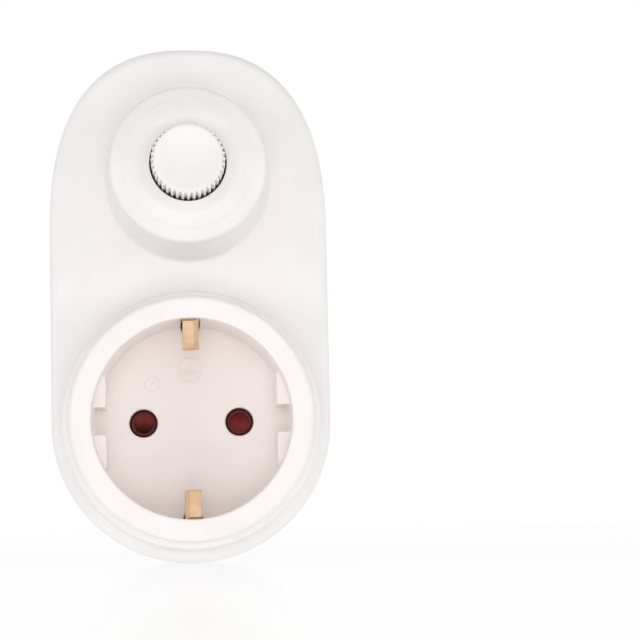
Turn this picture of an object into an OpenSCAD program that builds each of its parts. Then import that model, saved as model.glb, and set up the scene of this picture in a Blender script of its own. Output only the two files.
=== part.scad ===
// Plug-in dimmer: a slim two-part case with a knob turret, a side-earth socket and a two-pin plug.
// Every piece is drawn in a front view (x right, y up, z towards the user, z = 0 on the plug face)
// and then turned upright, so that the user stands on the -Y side and the plug points along +Y.
// The recess that takes a plug comes first: the ring, the collar and the case are built out from it.

/* [Socket] */
// Distance between the two pins
pin_pitch = 19; // [18.8:0.1:19.4]
// Diameter of the socket recess at its mouth
recess_d = 38.4; // [38:0.1:39.4]
// Depth of the socket recess
recess_depth = 17.5; // [17:0.1:18.2]
// How much the recess narrows from its mouth to its floor, on the radius
recess_draft = 0.25; // [0.1:0.05:0.4]
// Thickness of the recess floor
floor_t = 2; // [1.6:0.1:2.4]
// Diameter of the pin holes
pin_hole_d = 5.6; // [5.2:0.1:5.8]
// Width of the socket ring around the recess
ring_w = 4.2; // [4:0.1:5]
// Radius of the outer edge of the socket ring
ring_round = 0.9; // [0.3:0.1:1.2]
// Height of the socket mouth above the case face
mouth_h = 18; // [17:0.25:19]
// Wall thickness of the socket insert
insert_wall = 1.5; // [1.2:0.1:1.7]
// How far the retaining flange of the insert stands out
flange_out = 1.1; // [0.8:0.1:1.4]
// Thickness of the retaining flange
flange_t = 2; // [1.5:0.1:2.4]
// Thickness of the guide lugs, from the recess wall to their flats
lug_t = 2.7; // [2:0.1:3]
// Height of each pair of guide lugs
lug_span = 18; // [15:0.5:18.4]
// Gap between the two lugs of a pair
lug_gap = 5.3; // [4.6:0.1:6]
// How far the lugs end below the mouth
lug_drop = 6; // [3:0.5:9]

/* [Collar] */
// Wall thickness of the collar around the socket ring
collar_t = 1.5; // [1.3:0.1:2]
// How much wider the collar is where it leaves the case face, on the radius
collar_flare = 0.4; // [0.2:0.05:0.8]
// How far the collar's edge lies below the socket mouth
collar_drop = 5; // [3:0.25:7]
// Radius of the collar's outer edge
collar_round = 0.9; // [0.3:0.1:1]
// Radius of the fillet at the foot of the collar and of the turret
foot_fillet = 0.7; // [0.3:0.1:1.2]

/* [Case] */
// Width of the case beside the collar's foot
case_margin = 2.45; // [2:0.05:5]
// Height of the case above the turret's foot
top_margin = 10.1; // [9:0.1:16]
// Height of the rounded crown at the top of the case
crown_h = 38; // [34:0.5:42]
// Squareness of the crown, where 2 is an ellipse
crown_power = 2.5; // [2.4:0.1:3]
// Depth of the case from its rear face to its front face
case_d = 18; // [17.5:0.25:22]
// Depth of the rear cover up to the seam
rear_d = 7; // [6:0.25:8]
// Wall thickness of both covers
wall = 2; // [1.7:0.1:2.3]
// Radius along the front edge
front_round = 2.5; // [1:0.1:3]
// Radius along the rear edge
rear_round = 1.5; // [0.5:0.1:2]
// Thickness of the lip that centres the covers
lip_t = 1.1; // [0.8:0.1:1.3]
// Height of the lip above the seam
lip_h = 2; // [1:0.25:3]

/* [Earth contacts] */
// Thickness of the earth strips
strip_t = 0.7; // [0.5:0.05:0.8]
// Width of the socket's earth clips
clip_w = 3.2; // [2.8:0.1:4]
// How far the clips bulge into the recess
clip_bulge = 5.9; // [4.8:0.1:6]
// Depth of the clips' bulge below the mouth
clip_bulge_depth = 6.5; // [5:0.25:8]
// Depth of the clips' front end below the mouth
clip_end_depth = 1.8; // [1.5:0.1:3]
// Width of the plug's earth strips
plug_strip_w = 6; // [5:0.25:7]
// Room around the earth strips in their slots
strip_room = 0.3; // [0.2:0.05:0.45]
// Diameter of the rivet that joins the two earth bows
earth_rivet_d = 2.4; // [2:0.1:3]

/* [Shutter and contacts] */
// How far the shutter disc reaches past the pin holes
shutter_lap = 2; // [1.4:0.1:2.2]
// Thickness of the shutter disc
shutter_t = 2; // [1.6:0.1:2.4]
// Turn that uncovers the pin holes, in degrees
shutter_turn = 38; // [37:1:42]
// Diameter of the shutter's pivot
pivot_d = 4; // [3:0.1:4.4]
// Distance of the spring peg from the contact sleeves
peg_gap = 1.7; // [1.4:0.1:1.9]
// Diameter of the spring peg
peg_d = 1.8; // [1.4:0.1:2]
// Outer diameter of the closing spring
spring_d = 2.2; // [1.8:0.1:2.4]
// Wire diameter of the closing spring
spring_wire = 0.35; // [0.25:0.05:0.4]
// Turns of the closing spring
spring_turns = 7; // [5:1:7]
// Length of the closing spring in its pocket
spring_l = 5.8; // [5.6:0.1:6]
// Gap between the contact carrier and the line of the recess wall
carrier_gap = 0.2; // [0:0.05:0.4]
// Outer diameter of the contact sleeves
sleeve_d = 6.4; // [6:0.1:6.6]
// Wall thickness of the contact sleeves
sleeve_t = 0.75; // [0.5:0.05:0.8]
// Width of the slit that makes the sleeves springy
sleeve_slit = 1; // [0.6:0.1:1.4]

/* [Knob turret] */
// Width of the case face between the collar's foot and the turret's foot
turret_gap = 7.2; // [6:0.1:12]
// Diameter of the turret where it leaves the case face
turret_base_d = 33; // [32:0.2:34]
// How much the turret narrows up to its rim, on the radius
turret_taper = 1.3; // [0.8:0.1:1.8]
// Height of the turret's rim above the case face
turret_h = 17.6; // [16:0.2:18.2]
// Radius of the turret's rim
turret_round = 1.1; // [0.4:0.1:1.6]
// Rise from the rim to the crest of the turret
crest_rise = 0.9; // [0.6:0.1:1.4]
// Distance of the crest from the turret's rim, on the radius
crest_in = 2.6; // [2:0.1:3.4]
// Height of the step at the crest
crest_step = 0.2; // [0.1:0.05:0.4]
// Distance of the dish's edge from the turret's rim, on the radius
dish_in = 4.9; // [4.2:0.1:5.6]
// Rise from the crest to the dish's edge
dish_rise = 0.9; // [0.5:0.1:1.2]
// Depth of the dish at the knob hole
dish_drop = 0.4; // [0.2:0.1:0.8]
// Gap between the knob and its hole
knob_room = 0.5; // [0.35:0.05:1]
// Wall thickness of the turret
turret_wall = 2.2; // [1.8:0.1:2.8]

/* [Knob] */
// Diameter over the knob's ribs
knob_d = 14; // [13:0.1:14.6]
// Height of the ribs on the radius
rib_h = 0.45; // [0.2:0.05:0.6]
// Number of ribs
rib_count = 40; // [30:1:48]
// Height of the knob's front above the case face
knob_h = 24; // [23.4:0.2:26]
// Length of the knob
knob_l = 15.6; // [15:0.2:17.4]
// Length of the smooth nose in front of the ribs
nose_l = 0.9; // [0.7:0.1:2.5]
// Depth of the shallow dish in the knob's front
nose_dish = 0.4; // [0.2:0.05:0.6]
// Wall thickness of the knob
knob_wall = 1.3; // [1:0.1:1.5]
// Diameter of the potentiometer's shaft
shaft_d = 6; // [5:0.1:6.2]
// Height of the flat on the shaft above its axis
shaft_flat = 1.6; // [1.2:0.1:2]

/* [Plug] */
// Gap that the plug body leaves in a recess like this one, on the radius
plug_gap = 0.8; // [0.6:0.05:1]
// Length of the plug body behind the case
plug_l = 17; // [16.5:0.1:17.4]
// Room around the pin heads in the hollow of the plug body
hollow_room = 1.7; // [1.4:0.1:1.9]
// Thickness of the plug face
plug_face_t = 2.2; // [1.8:0.1:2.6]
// Diameter of the plug pins
plug_pin_d = 4.8; // [4:0.1:5]
// Length of the plug pins
plug_pin_l = 19; // [18.5:0.1:19.5]
// Height of the guides that hold the pins inside the plug body
pin_guide_h = 5.3; // [4.5:0.1:6]
// Room between the plug's flats and the guide lugs of a recess like this one
notch_gap = 0.3; // [0.2:0.05:0.6]
// Width of the guide ridge between the flats
ridge_w = 4.6; // [4:0.1:5]

/* [Electronics] */
// Thickness of the circuit board
board_t = 1.6; // [1.2:0.1:1.8]
// Height of the board above the rear cover's inner face
board_stand = 3; // [2.8:0.1:3.2]
// Gap between the board's lower edge and the socket insert's flange
board_gap = 2; // [1.4:0.1:2.2]
// Diameter of the potentiometer
pot_d = 14; // [13:0.2:15]
// Height of the potentiometer's housing
pot_h = 7; // [6.6:0.1:7.6]
// Sheet thickness of the potentiometer's housing
pot_wall = 0.7; // [0.5:0.05:0.8]
// Wall thickness of the potentiometer's bush
bush_wall = 0.6; // [0.5:0.05:0.9]
// Length of the potentiometer's bush
bush_l = 6; // [4:0.25:6.5]
// Diameter of the choke
choke_d = 10; // [9:0.2:10.6]
// Room between the tall parts on the board and the front cover
headroom = 1.4; // [0.8:0.1:2.4]
// Diameter of the fuse
fuse_d = 5.2; // [5:0.1:5.4]
// Length of the fuse
fuse_l = 20; // [18:0.5:20.5]
// Diameter of the insulated wires
wire_d = 1.6; // [1.2:0.1:1.8]

/* [Fasteners and clearances] */
// Shank diameter of the case screws
case_screw_d = 2.8; // [2.4:0.1:3]
// Diameter of the screw posts
post_d = 5.2; // [5:0.1:5.6]
// Shank diameter of the board screws
board_screw_d = 2; // [1.8:0.1:2.4]
// Running clearance of turning pieces, on the radius
run_gap = 0.04; // [0.02:0.01:0.08]
// Gap between pieces that are laid into each other
seat_gap = 0.1; // [0.05:0.01:0.15]
// Gap around posts and between the lip and the front cover
post_gap = 0.3; // [0.15:0.05:0.4]

/* [Hidden] */
$fn = 96;
// Points on the lower arc and on the crown of the case outline
low_points = 36;
crown_points = 48;
// Points on each small rounding
round_points = 5;
// Overshoot of cuts through a face
cut = 1;

// Levels along the front view's z, from the plug face towards the user
rear_z = plug_l;
seam_z = rear_z + rear_d;
face_z = rear_z + case_d;
inner_rear_z = rear_z + wall;
inner_front_z = face_z - wall;
mouth_z = face_z + mouth_h;
floor_z = mouth_z - recess_depth;
floor_back_z = floor_z - floor_t;
ledge_z = mouth_z - collar_drop;

// Socket radii, from the recess outwards to the case
mouth_r = recess_d / 2;
floor_r = mouth_r - recess_draft;
cup_r = mouth_r + insert_wall;
ring_r = mouth_r + ring_w;
skirt_r = ring_r - insert_wall;
flange_r = ring_r + flange_out;
collar_bore_r = ring_r + seat_gap;
collar_r = ring_r + collar_t;
collar_base_r = collar_r + collar_flare;
case_r = collar_base_r + case_margin;
lug_reach = mouth_r - lug_t;
ring_t = 2.4;
pin_x = pin_pitch / 2;
pin_hole_r = pin_hole_d / 2;
hole_bevel = 0.3;
mouth_round = 0.4;

// Heights of the turret and the case above the socket axis
turret_base_r = turret_base_d / 2;
turret_rim_r = turret_base_r - turret_taper;
knob_y = collar_base_r + turret_gap + turret_base_r;
case_top = knob_y + turret_base_r + top_margin;
crown_y = case_top - crown_h;

// Earth slots in the recess: their width, and where they start and end
slot_w = clip_w + 3 * strip_room;
slot_wall = 0.7;
slot_outer_r = cup_r - slot_wall;
slot_roof = 1.2;
slot_top_z = mouth_z - slot_roof;

// Plug
plug_r = mouth_r - plug_gap;
plug_pin_r = plug_pin_d / 2;
pin_step = 0.3;
pin_shank_r = plug_pin_r + pin_step;
guide_wall = 1.5;
pin_guide_r = pin_shank_r + guide_wall;
guide_top_z = plug_face_t + pin_guide_h;
pin_rim = 0.9;
pin_flange_r = pin_shank_r + pin_rim;
pin_flange_t = 1;
hollow_r = pin_x + pin_flange_r + hollow_room;
notch_reach = lug_reach - notch_gap;
notch_room = 0.2;
tag_gap = 0.05;
tag_z = guide_top_z + pin_flange_t + tag_gap;
tag_t = 0.8;
tag_w = 6;
tag_reach = 7.4;
spigot_r = 1.3;
spigot_head_r = 2;
spigot_head_z = tag_z + tag_t + tag_gap;
spigot_head_t = 1;

// Earth bows: the two cross strips lie on each other behind the contact carrier
bow_gap = 0.1;
bend_l = 1.2;
support_h = 1;
support_w = 2.4;
support_top_z = inner_rear_z + support_h;
front_bow_z = support_top_z - strip_t / 2 - bow_gap;
rear_bow_z = front_bow_z - strip_t - bow_gap;
bow_bend_z = rear_bow_z - strip_t / 2 - bend_l;
clip_y = floor_r - strip_t;
clip_rise = 2.5;
clip_reach = mouth_r - clip_bulge;
clip_end_y = mouth_r - strip_room;
slot_inner_y = clip_y - strip_t / 2 - strip_room;
strip_sink = 0.2;
strip_back = 0.15;
plug_strip_lift = 1;
plug_strip_y = plug_r - strip_t / 2 - strip_sink;
plug_slot_y = plug_strip_y - strip_t / 2 - strip_back;
plug_slot_w = plug_strip_w + 2 * strip_room;
rivet_r = earth_rivet_d / 2;
rivet_rim = 0.8;
rivet_head_r = rivet_r + rivet_rim;
rivet_head_t = 0.5;

// Contact carrier and shutter
carrier_r = mouth_r - carrier_gap;
carrier_z = support_top_z + seat_gap;
carrier_top_z = floor_back_z - seat_gap;
shutter_gap = 0.2;
shutter_z = floor_back_z - shutter_gap - shutter_t;
pocket_z = shutter_z - shutter_gap;
shutter_r = pin_x + pin_hole_r + shutter_lap;
pocket_room = 0.7;
shutter_pocket_r = shutter_r + pocket_room;
window_room = 0.25;
window_r = pin_hole_r + window_room;
boss_rim = 0.35;
boss_r = pin_hole_r - boss_rim;
boss_h = 0.8;
ramp_rim = 0.5;
ramp_r = boss_r - ramp_rim;
ramp_depth = 0.8;
ramp_turn = 17;
pivot_r = pivot_d / 2;
pivot_hole_depth = 1.2;
sleeve_r = sleeve_d / 2;
sleeve_hole_r = sleeve_r + seat_gap;
sleeve_cover = 1;
sleeve_top_z = pocket_z - sleeve_cover;
sleeve_lift = 1.2;
sleeve_z = carrier_z + sleeve_lift;
tail_w = 2.2;
tail_t = 0.7;
tail_lap = 1;
tail_r = sqrt(pow(sleeve_r, 2) - pow(tail_w / 2, 2));
tail_drop = 1.5;
tail_low_z = rear_z - tail_drop;

// Closing spring and the peg that it pushes
peg_reach = pin_x - sleeve_r - peg_gap;
peg_r = peg_d / 2;
peg_l = 2.6;
peg_room = 0.4;
peg_drop = peg_l + peg_room;
spring_gap = 0.15;
spring_y = peg_r + spring_gap + spring_wire / 2;
spring_pitch_r = (spring_d - spring_wire) / 2;
spring_z = shutter_z - peg_l / 2;
spring_pocket_end = spring_y + spring_l + spring_wire / 2 + spring_gap;
spring_side = 0.9;
spring_pocket_x = peg_reach - spring_d / 2 - spring_side;
spring_pocket_w = spring_d + spring_side + 2 * spring_gap;

// Wires: they run through a notch in the carrier and along the back of the board
wire_r = wire_d / 2;
solder_gap = 0.02;
solder_l = 1.5;
wire_gap = 0.15;
wire_run_z = inner_rear_z + board_stand - wire_r - wire_gap;
live_out = 1.1;
load_in = 2.1;
live_x = -pin_x - live_out;
load_x = -pin_x + load_in;
wire_up_y = 6.2;
wire_room = 0.5;
load_drop = 2.3;
notch_low_y = wire_up_y - wire_r - wire_room;
notch_x = live_x - wire_r - wire_room;
notch_w = load_x + wire_r + wire_room - notch_x;
notch_top_z = wire_run_z + wire_r + wire_room;

// Turret and knob
turret_rim_z = face_z + turret_h;
crest_z = turret_rim_z + crest_rise;
crest_r = turret_rim_r - crest_in;
dish_r = turret_rim_r - dish_in;
dish_edge_z = crest_z + dish_rise;
dish_z = dish_edge_z - dish_drop;
rim_turn = 66;
turret_in_r = turret_rim_r - turret_wall;
turret_roof_z = turret_rim_z - turret_wall;
knob_r = knob_d / 2;
knob_hole_r = knob_r + knob_room;
knob_front_z = face_z + knob_h;
knob_low_z = knob_front_z - knob_l;
knob_root_r = knob_r - rib_h;
nose_step = 0.1;
nose_r = knob_root_r - nose_step;
nose_round = 0.6;
nose_flat = 0.3;
rib_steps = [0, 0.42, 0.58, 0.84];
shaft_r = shaft_d / 2;
knob_bore_r = shaft_r + run_gap;
hub_r = knob_bore_r + knob_wall;
shaft_depth = 7.5;
shaft_top_z = knob_front_z - shaft_depth;
bore_room = 0.4;
knob_bore_z = shaft_top_z + bore_room;
knob_cap_t = 3;
flat_start = 1;
shaft_flat_z = knob_low_z + flat_start;

// Board and potentiometer
board_low = flange_r + board_gap;
wire_lap = 2.5;
wire_end_y = board_low + wire_lap;
board_z = inner_rear_z + board_stand;
board_top_z = board_z + board_t;
board_room = 0.4;
board_inset = wall + post_gap / 2 + lip_t + board_room;
pot_r = pot_d / 2;
pot_top_z = board_top_z + pot_h;
bush_r = shaft_r + bush_wall;
bush_top_z = pot_top_z + bush_l;
wafer_t = 0.5;
wafer_z = board_top_z + pot_wall;
wafer_room = 0.4;
wafer_r = pot_r - pot_wall - wafer_room;
wafer_tab_w = 12;
wafer_tab_l = 3.4;
tab_root = 0.8;
terminal_pitch = 4.6;
terminal_r = 0.45;
terminal_room = 0.15;
terminal_edge = 0.9;
terminal_y = knob_y - wafer_r - wafer_tab_l + terminal_edge;
terminal_spots = [for (i = [-1 : 1]) [i * terminal_pitch, terminal_y]];
solder_h = 0.8;
wiper_lift = 0.6;
wiper_z = wafer_z + wafer_t + wiper_lift;
wiper_edge = 0.3;
wiper_r = wafer_r - wiper_edge;
wiper_t = 1.8;
wiper_hub_wall = 1.2;
wiper_hub_r = shaft_r + wiper_hub_wall;
wiper_top_gap = 0.25;
wiper_hub_top_z = pot_top_z - pot_wall - wiper_top_gap;
finger_gap = 0.12;
finger_r = 0.6;
finger_x = wiper_r - 2 * finger_r;

// Other parts on the board, placed from the case side and from the board's lower edge or the knob
tall_h = inner_front_z - headroom - board_top_z;
fuse_up = 4;
fuse_lift = 1.2;
fuse_y = board_low + fuse_up;
fuse_z = board_top_z + fuse_d / 2 + fuse_lift;
fuse_cap_l = 5.5;
fuse_cap_t = 0.35;
clip_sheet = 0.5;
clip_len = 4;
choke_in = 11.75;
choke_up = 10.5;
choke_pos = [case_r - choke_in, board_low + choke_up];
choke_flange = 1.2;
choke_rim = 0.4;
cap_in = 10.75;
cap_up = 10.5;
cap_pos = [cap_in - case_r, board_low + cap_up];
cap_size = [6, 10];
triac_in = 12.85;
triac_down = 3.5;
triac_x = triac_in - case_r;
triac_y = knob_y - triac_down;
triac_size = [10, 9, 4];
tab_l = 13.5;
tab_t = 1.3;
tab_hole_edge = 2.2;
triac_spot = [triac_x, triac_y + tab_l - tab_hole_edge];
triac_hole_r = 1.6;
triac_leg_pitch = 2.54;
triac_leg_w = 0.8;
triac_leg_l = 2.8;
sink_t = 1.2;
sink_w = 10.8;
sink_margin = 0.6;
sink_fin_h = 6;
timer_cap_in = 16.2;
timer_cap_down = 1.4;
timer_cap_pos = [case_r - timer_cap_in, knob_y - timer_cap_down];
timer_cap_size = [3.2, 7.2, 6.5];
lead_r = 0.3;
lead_out = 1.6;
part_lift = 0.2;
resistor_in = 9.55;
resistor_steps = [-2.5, 1.5];
resistor_r = 1.2;
resistor_l = 5.4;
diac_in = 10.15;
diac_up = 5.5;
diac_pos = [case_r - diac_in, knob_y + diac_up];
diac_r = 0.9;
diac_l = 4;

// Screws: four through the rear cover into posts of the front cover, two through the board
post_r = post_d / 2;
case_screw_r = case_screw_d / 2;
screw_head_rim = 1.1;
screw_head_r = case_screw_r + screw_head_rim;
screw_head_t = 1.6;
screw_sink = 0.3;
screw_room = 0.2;
screw_grip = 8;
cross_l = 2.4;
cross_w = 0.6;
cross_depth = 0.8;
pad_h = 2;
pad_top_z = inner_rear_z + pad_h;
screw_recess_z = rear_z + screw_head_t + screw_sink;
screw_tip_z = pad_top_z + screw_grip;
upper_post_down = 10.6;
upper_post_in = 13.25;
lower_post_in = 4.3;
lower_post_turn = 45.8;
upper_post = [case_r - upper_post_in, case_top - upper_post_down];
lower_post = (case_r - lower_post_in) * [cos(lower_post_turn), -sin(lower_post_turn)];
post_spots = [for (side = [-1, 1]) for (post = [upper_post, lower_post]) [side * post[0], post[1]]];
board_screw_r = board_screw_d / 2;
board_head_rim = 0.9;
board_head_t = 1.4;
standoff_wall = 1.2;
standoff_r = board_screw_r + standoff_wall;
board_screw_in = 6.75;
board_screw_up = 2.7;
board_screw_spots = [for (side = [-1, 1]) [side * (case_r - board_screw_in), board_low + board_screw_up]];
board_rest_down = 8.6;
board_rest_spot = [0, case_top - board_rest_down];

// Turns the front view upright: x stays, y becomes Z, and z becomes -Y
module facing() {
    rotate([90, 0, 0]) children();
}

// Outline of the case: a half circle below, straight sides and a squarish crown, all moved in by inset
function crown_point(inset, t) = [
    sign(cos(t)) * (case_r - inset) * pow(abs(cos(t)), 2 / crown_power),
    crown_y + (crown_h - inset) * pow(abs(sin(t)), 2 / crown_power)
];
function outline(inset) = concat(
    [for (i = [0 : low_points]) let (t = 180 + 180 * i / low_points) (case_r - inset) * [cos(t), sin(t)]],
    [for (i = [0 : crown_points]) crown_point(inset, 180 * i / crown_points)]
);

// Points on an arc
function arc(centre, r, from, to) = [for (i = [0 : round_points])
    centre + r * [cos(from + (to - from) * i / round_points), sin(from + (to - from) * i / round_points)]];

// Solid through case outlines, given as pairs of inset and level from the rear to the front
module loft(rings) {
    n = low_points + crown_points + 2;
    last = len(rings) - 1;
    points = [for (ring = rings) for (p = outline(ring[0])) [p[0], p[1], ring[1]]];
    sides = [for (k = [0 : last - 1]) for (i = [0 : n - 1])
        let (a = k * n + i, b = k * n + (i + 1) % n)
        each [[a, a + n, b + n], [a, b + n, b]]];
    rear_cap = [for (i = [0 : n - 1]) i];
    front_cap = [for (i = [n - 1 : -1 : 0]) last * n + i];
    polyhedron(points, concat(sides, [rear_cap, front_cap]), convexity = 4);
}

// Block of the case outline between two levels
module case_block(inset, from_z, to_z) {
    translate([0, 0, from_z]) linear_extrude(to_z - from_z) polygon(outline(inset));
}

// Round bar, centred on an x, y place, between two levels
module bar(place, r, from_z, to_z) {
    translate([place[0], place[1], from_z]) cylinder(h = to_z - from_z, r = r);
}

// Box centred on x = 0, given by its width, its y range and its z range
module slab(w, y_range, z_range) {
    translate([-w / 2, y_range[0], z_range[0]])
        cube([w, y_range[1] - y_range[0], z_range[1] - z_range[0]]);
}

// Copies at the top and at the bottom of the socket
module top_and_bottom() {
    children();
    mirror([0, 1, 0]) children();
}

// Copies at the left and at the right
module left_and_right() {
    children();
    mirror([1, 0, 0]) children();
}

// Line whose corners are rounded, from a point at bend_l before each corner to one behind it
function bent(points) = [for (i = [0 : len(points) - 1]) each
    i == 0 || i == len(points) - 1 ? [points[i]] : corner(points[i], points[i - 1], points[i + 1])];
function corner(at, before, after) =
    let (from = at + bend_l * unit(before - at), to = at + bend_l * unit(after - at))
    [for (k = [0 : round_points]) let (t = k / round_points)
        pow(1 - t, 2) * from + 2 * t * (1 - t) * at + pow(t, 2) * to];
function unit(v) = v / norm(v);
function across(v) = unit([-v[1], v[0]]);

// Line at a distance beside another
function beside(line, distance) = let (last = len(line) - 1) [for (i = [0 : last])
    let (a = across(line[max(i, 1)] - line[max(i - 1, 0)]),
        b = across(line[min(i + 1, last)] - line[min(i, last - 1)]))
    line[i] + 2 * distance * (a + b) / pow(norm(a + b), 2)];
function reversed(line) = [for (i = [len(line) - 1 : -1 : 0]) line[i]];

// Bent strip of sheet metal, of width w along x, whose middle line runs through y, z points
module bent_strip(points, w) {
    line = bent(points);
    rotate([90, 0, 90]) linear_extrude(w, center = true)
        polygon(concat(beside(line, strip_t / 2), reversed(beside(line, -strip_t / 2))));
}

// Insulated wire through points, with round bends
module wire(points) {
    for (i = [0 : len(points) - 2]) {
        step = points[i + 1] - points[i];
        translate(points[i]) rotate([0, acos(step[2] / norm(step)), atan2(step[1], step[0])])
            cylinder(h = norm(step), r = wire_r);
    }
    for (i = [1 : len(points) - 2]) translate(points[i]) sphere(r = wire_r);
}

// Cross recess of a screw head, cut down from z = 0
module cross_recess() {
    for (turn = [0, 90]) rotate(turn) translate([-cross_l / 2, -cross_w / 2, -cross_depth])
        cube([cross_l, cross_w, cross_depth + cut]);
}

// Part with two bent leads that lies along x on the board
module axial_part(place, r, l) {
    half = l / 2 + lead_out;
    level = board_top_z + r + part_lift;
    translate([place[0] - l / 2, place[1], level]) rotate([0, 90, 0]) cylinder(h = l, r = r);
    translate([place[0] - half, place[1], level]) rotate([0, 90, 0]) cylinder(h = 2 * half, r = lead_r);
    for (side = [-1, 1]) {
        bar([place[0] + side * half, place[1]], lead_r, board_top_z, level);
        translate([place[0] + side * half, place[1], level]) sphere(r = lead_r);
    }
}

// Case

module collar() {
    foot_r = collar_base_r + foot_fillet;
    rotate_extrude() polygon(concat(
        [[collar_bore_r, inner_front_z], [foot_r, inner_front_z]],
        arc([foot_r, face_z + foot_fillet], foot_fillet, 270, 180),
        arc([collar_r - collar_round, ledge_z - collar_round], collar_round, 0, 90),
        [[collar_bore_r, ledge_z]]
    ));
}

module turret() {
    foot_r = turret_base_r + foot_fillet;
    translate([0, knob_y, 0]) rotate_extrude() polygon(concat(
        [[0, inner_front_z], [foot_r, inner_front_z]],
        arc([foot_r, face_z + foot_fillet], foot_fillet, 270, 180),
        arc([turret_rim_r - turret_round, turret_rim_z - turret_round], turret_round, 0, rim_turn),
        [[crest_r, crest_z - crest_step], [crest_r, crest_z], [dish_r, dish_edge_z]],
        [[knob_hole_r, dish_z], [0, dish_z]]
    ));
}

module front_cover() {
    edge = arc([front_round, face_z - front_round], front_round, 180, 90);
    color("white") facing() difference() {
        union() {
            difference() {
                union() {
                    loft(concat([[0, seam_z]], edge));
                    collar();
                    turret();
                }
                case_block(wall, seam_z - cut, inner_front_z);
                bar([0, knob_y], turret_in_r, inner_front_z - cut, turret_roof_z);
                bar([0, 0], collar_bore_r, inner_front_z, mouth_z);
            }
            for (spot = post_spots) bar(spot, post_r, pad_top_z, inner_front_z + wall / 2);
        }
        bar([0, 0], collar_bore_r, inner_front_z, face_z);
        bar([0, knob_y], knob_hole_r, turret_roof_z - cut, dish_edge_z + cut);
        for (spot = post_spots) bar(spot, case_screw_r + run_gap, pad_top_z - cut, screw_tip_z + cut);
    }
}

module plug_body() {
    difference() {
        bar([0, 0], plug_r, 0, rear_z + wall / 2);
        left_and_right() top_and_bottom() translate([notch_reach, ridge_w / 2, -cut])
            cube([plug_r, (lug_span - ridge_w) / 2 + notch_room, rear_z + cut]);
        top_and_bottom() slab(plug_slot_w, [plug_slot_y, plug_r + cut], [plug_face_t, rear_z + wall]);
    }
}

module rear_cover() {
    edge = arc([rear_round, rear_z + rear_round], rear_round, 270, 180);
    lip_inset = wall + post_gap / 2;
    color("whitesmoke") facing() difference() {
        union() {
            difference() {
                union() {
                    loft(concat(edge, [[0, seam_z]]));
                    case_block(lip_inset, rear_z + wall / 2, seam_z + lip_h);
                    plug_body();
                }
                case_block(lip_inset + lip_t, inner_rear_z, seam_z + lip_h + cut);
                bar([0, 0], hollow_r, plug_face_t, inner_rear_z + cut);
            }
            difference() {
                bar([0, 0], hollow_r + support_w, inner_rear_z - wall / 2, support_top_z);
                bar([0, 0], hollow_r, inner_rear_z - wall, support_top_z + cut);
            }
            left_and_right() bar([pin_x, 0], pin_guide_r, plug_face_t / 2, guide_top_z);
            for (spot = post_spots) bar(spot, post_r, inner_rear_z - wall / 2, pad_top_z);
            for (spot = board_screw_spots) bar(spot, standoff_r, inner_rear_z - wall / 2, board_z);
            bar(board_rest_spot, standoff_r, inner_rear_z - wall / 2, board_z);
        }
        slab(plug_slot_w, [-plug_r, plug_r], [rear_bow_z - strip_t / 2 - bow_gap, support_top_z + cut]);
        top_and_bottom() {
            slab(plug_slot_w, [plug_slot_y, plug_r], [rear_z - cut, support_top_z]);
            slab(plug_slot_w, [plug_slot_y - bend_l, plug_r], [bow_bend_z, support_top_z]);
            slab(slot_w, [hollow_r, clip_y + strip_t], [rear_bow_z + strip_t / 2, support_top_z]);
        }
        translate([notch_x, notch_low_y, inner_rear_z]) cube([notch_w, carrier_r, support_h + cut]);
        left_and_right() bar([pin_x, 0], pin_shank_r + run_gap, -cut, guide_top_z + cut);
        for (spot = post_spots) {
            bar(spot, screw_head_r + 2 * seat_gap, rear_z - cut, screw_recess_z);
            bar(spot, case_screw_r + screw_room, rear_z, pad_top_z + cut);
            bar(spot, post_r + post_gap, pad_top_z, seam_z + lip_h + cut);
        }
        for (spot = board_screw_spots) bar(spot, board_screw_r + run_gap, inner_rear_z, board_z + cut);
    }
}

module case_screws() {
    color("silver") facing() for (spot = post_spots) difference() {
        union() {
            bar(spot, screw_head_r, screw_recess_z - screw_head_t, screw_recess_z);
            bar(spot, case_screw_r, screw_recess_z - screw_head_t / 2, screw_tip_z);
        }
        translate([spot[0], spot[1], screw_recess_z - screw_head_t]) mirror([0, 0, 1]) cross_recess();
    }
}

// Socket

module insert_shell() {
    inner_low = [floor_r, floor_z];
    rotate_extrude() polygon(concat(
        [[0, floor_z], inner_low],
        arc([mouth_r + mouth_round, mouth_z - mouth_round], mouth_round, 180, 90),
        arc([ring_r - ring_round, mouth_z - ring_round], ring_round, 90, 0),
        [[ring_r, inner_front_z - seat_gap], [flange_r, inner_front_z - seat_gap],
         [flange_r, inner_front_z - flange_t], [skirt_r, inner_front_z - flange_t],
         [skirt_r, mouth_z - ring_t], [cup_r, mouth_z - ring_t], [cup_r, floor_back_z], [0, floor_back_z]]
    ));
}

module guide_lugs() {
    intersection() {
        bar([0, 0], mouth_r, floor_z - floor_t / 2, mouth_z - lug_drop);
        left_and_right() top_and_bottom() translate([lug_reach, lug_gap / 2, floor_z - floor_t / 2])
            cube([mouth_r, (lug_span - lug_gap) / 2, recess_depth]);
    }
}

module socket_insert() {
    color("seashell") facing() difference() {
        union() {
            insert_shell();
            guide_lugs();
            bar([0, 0], pivot_r, pocket_z - pivot_hole_depth + shutter_gap, floor_z - floor_t / 2);
        }
        left_and_right() {
            bar([pin_x, 0], pin_hole_r, floor_back_z - cut, floor_z + cut);
            translate([pin_x, 0, floor_z - hole_bevel])
                cylinder(h = 2 * hole_bevel, r1 = pin_hole_r, r2 = pin_hole_r + 2 * hole_bevel);
        }
        top_and_bottom() slab(slot_w, [slot_inner_y, slot_outer_r], [floor_back_z - cut, slot_top_z]);
        for (spot = post_spots)
            bar(spot, post_r + post_gap, inner_front_z - flange_t - cut, face_z - wall / 2 + post_gap);
    }
}

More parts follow.
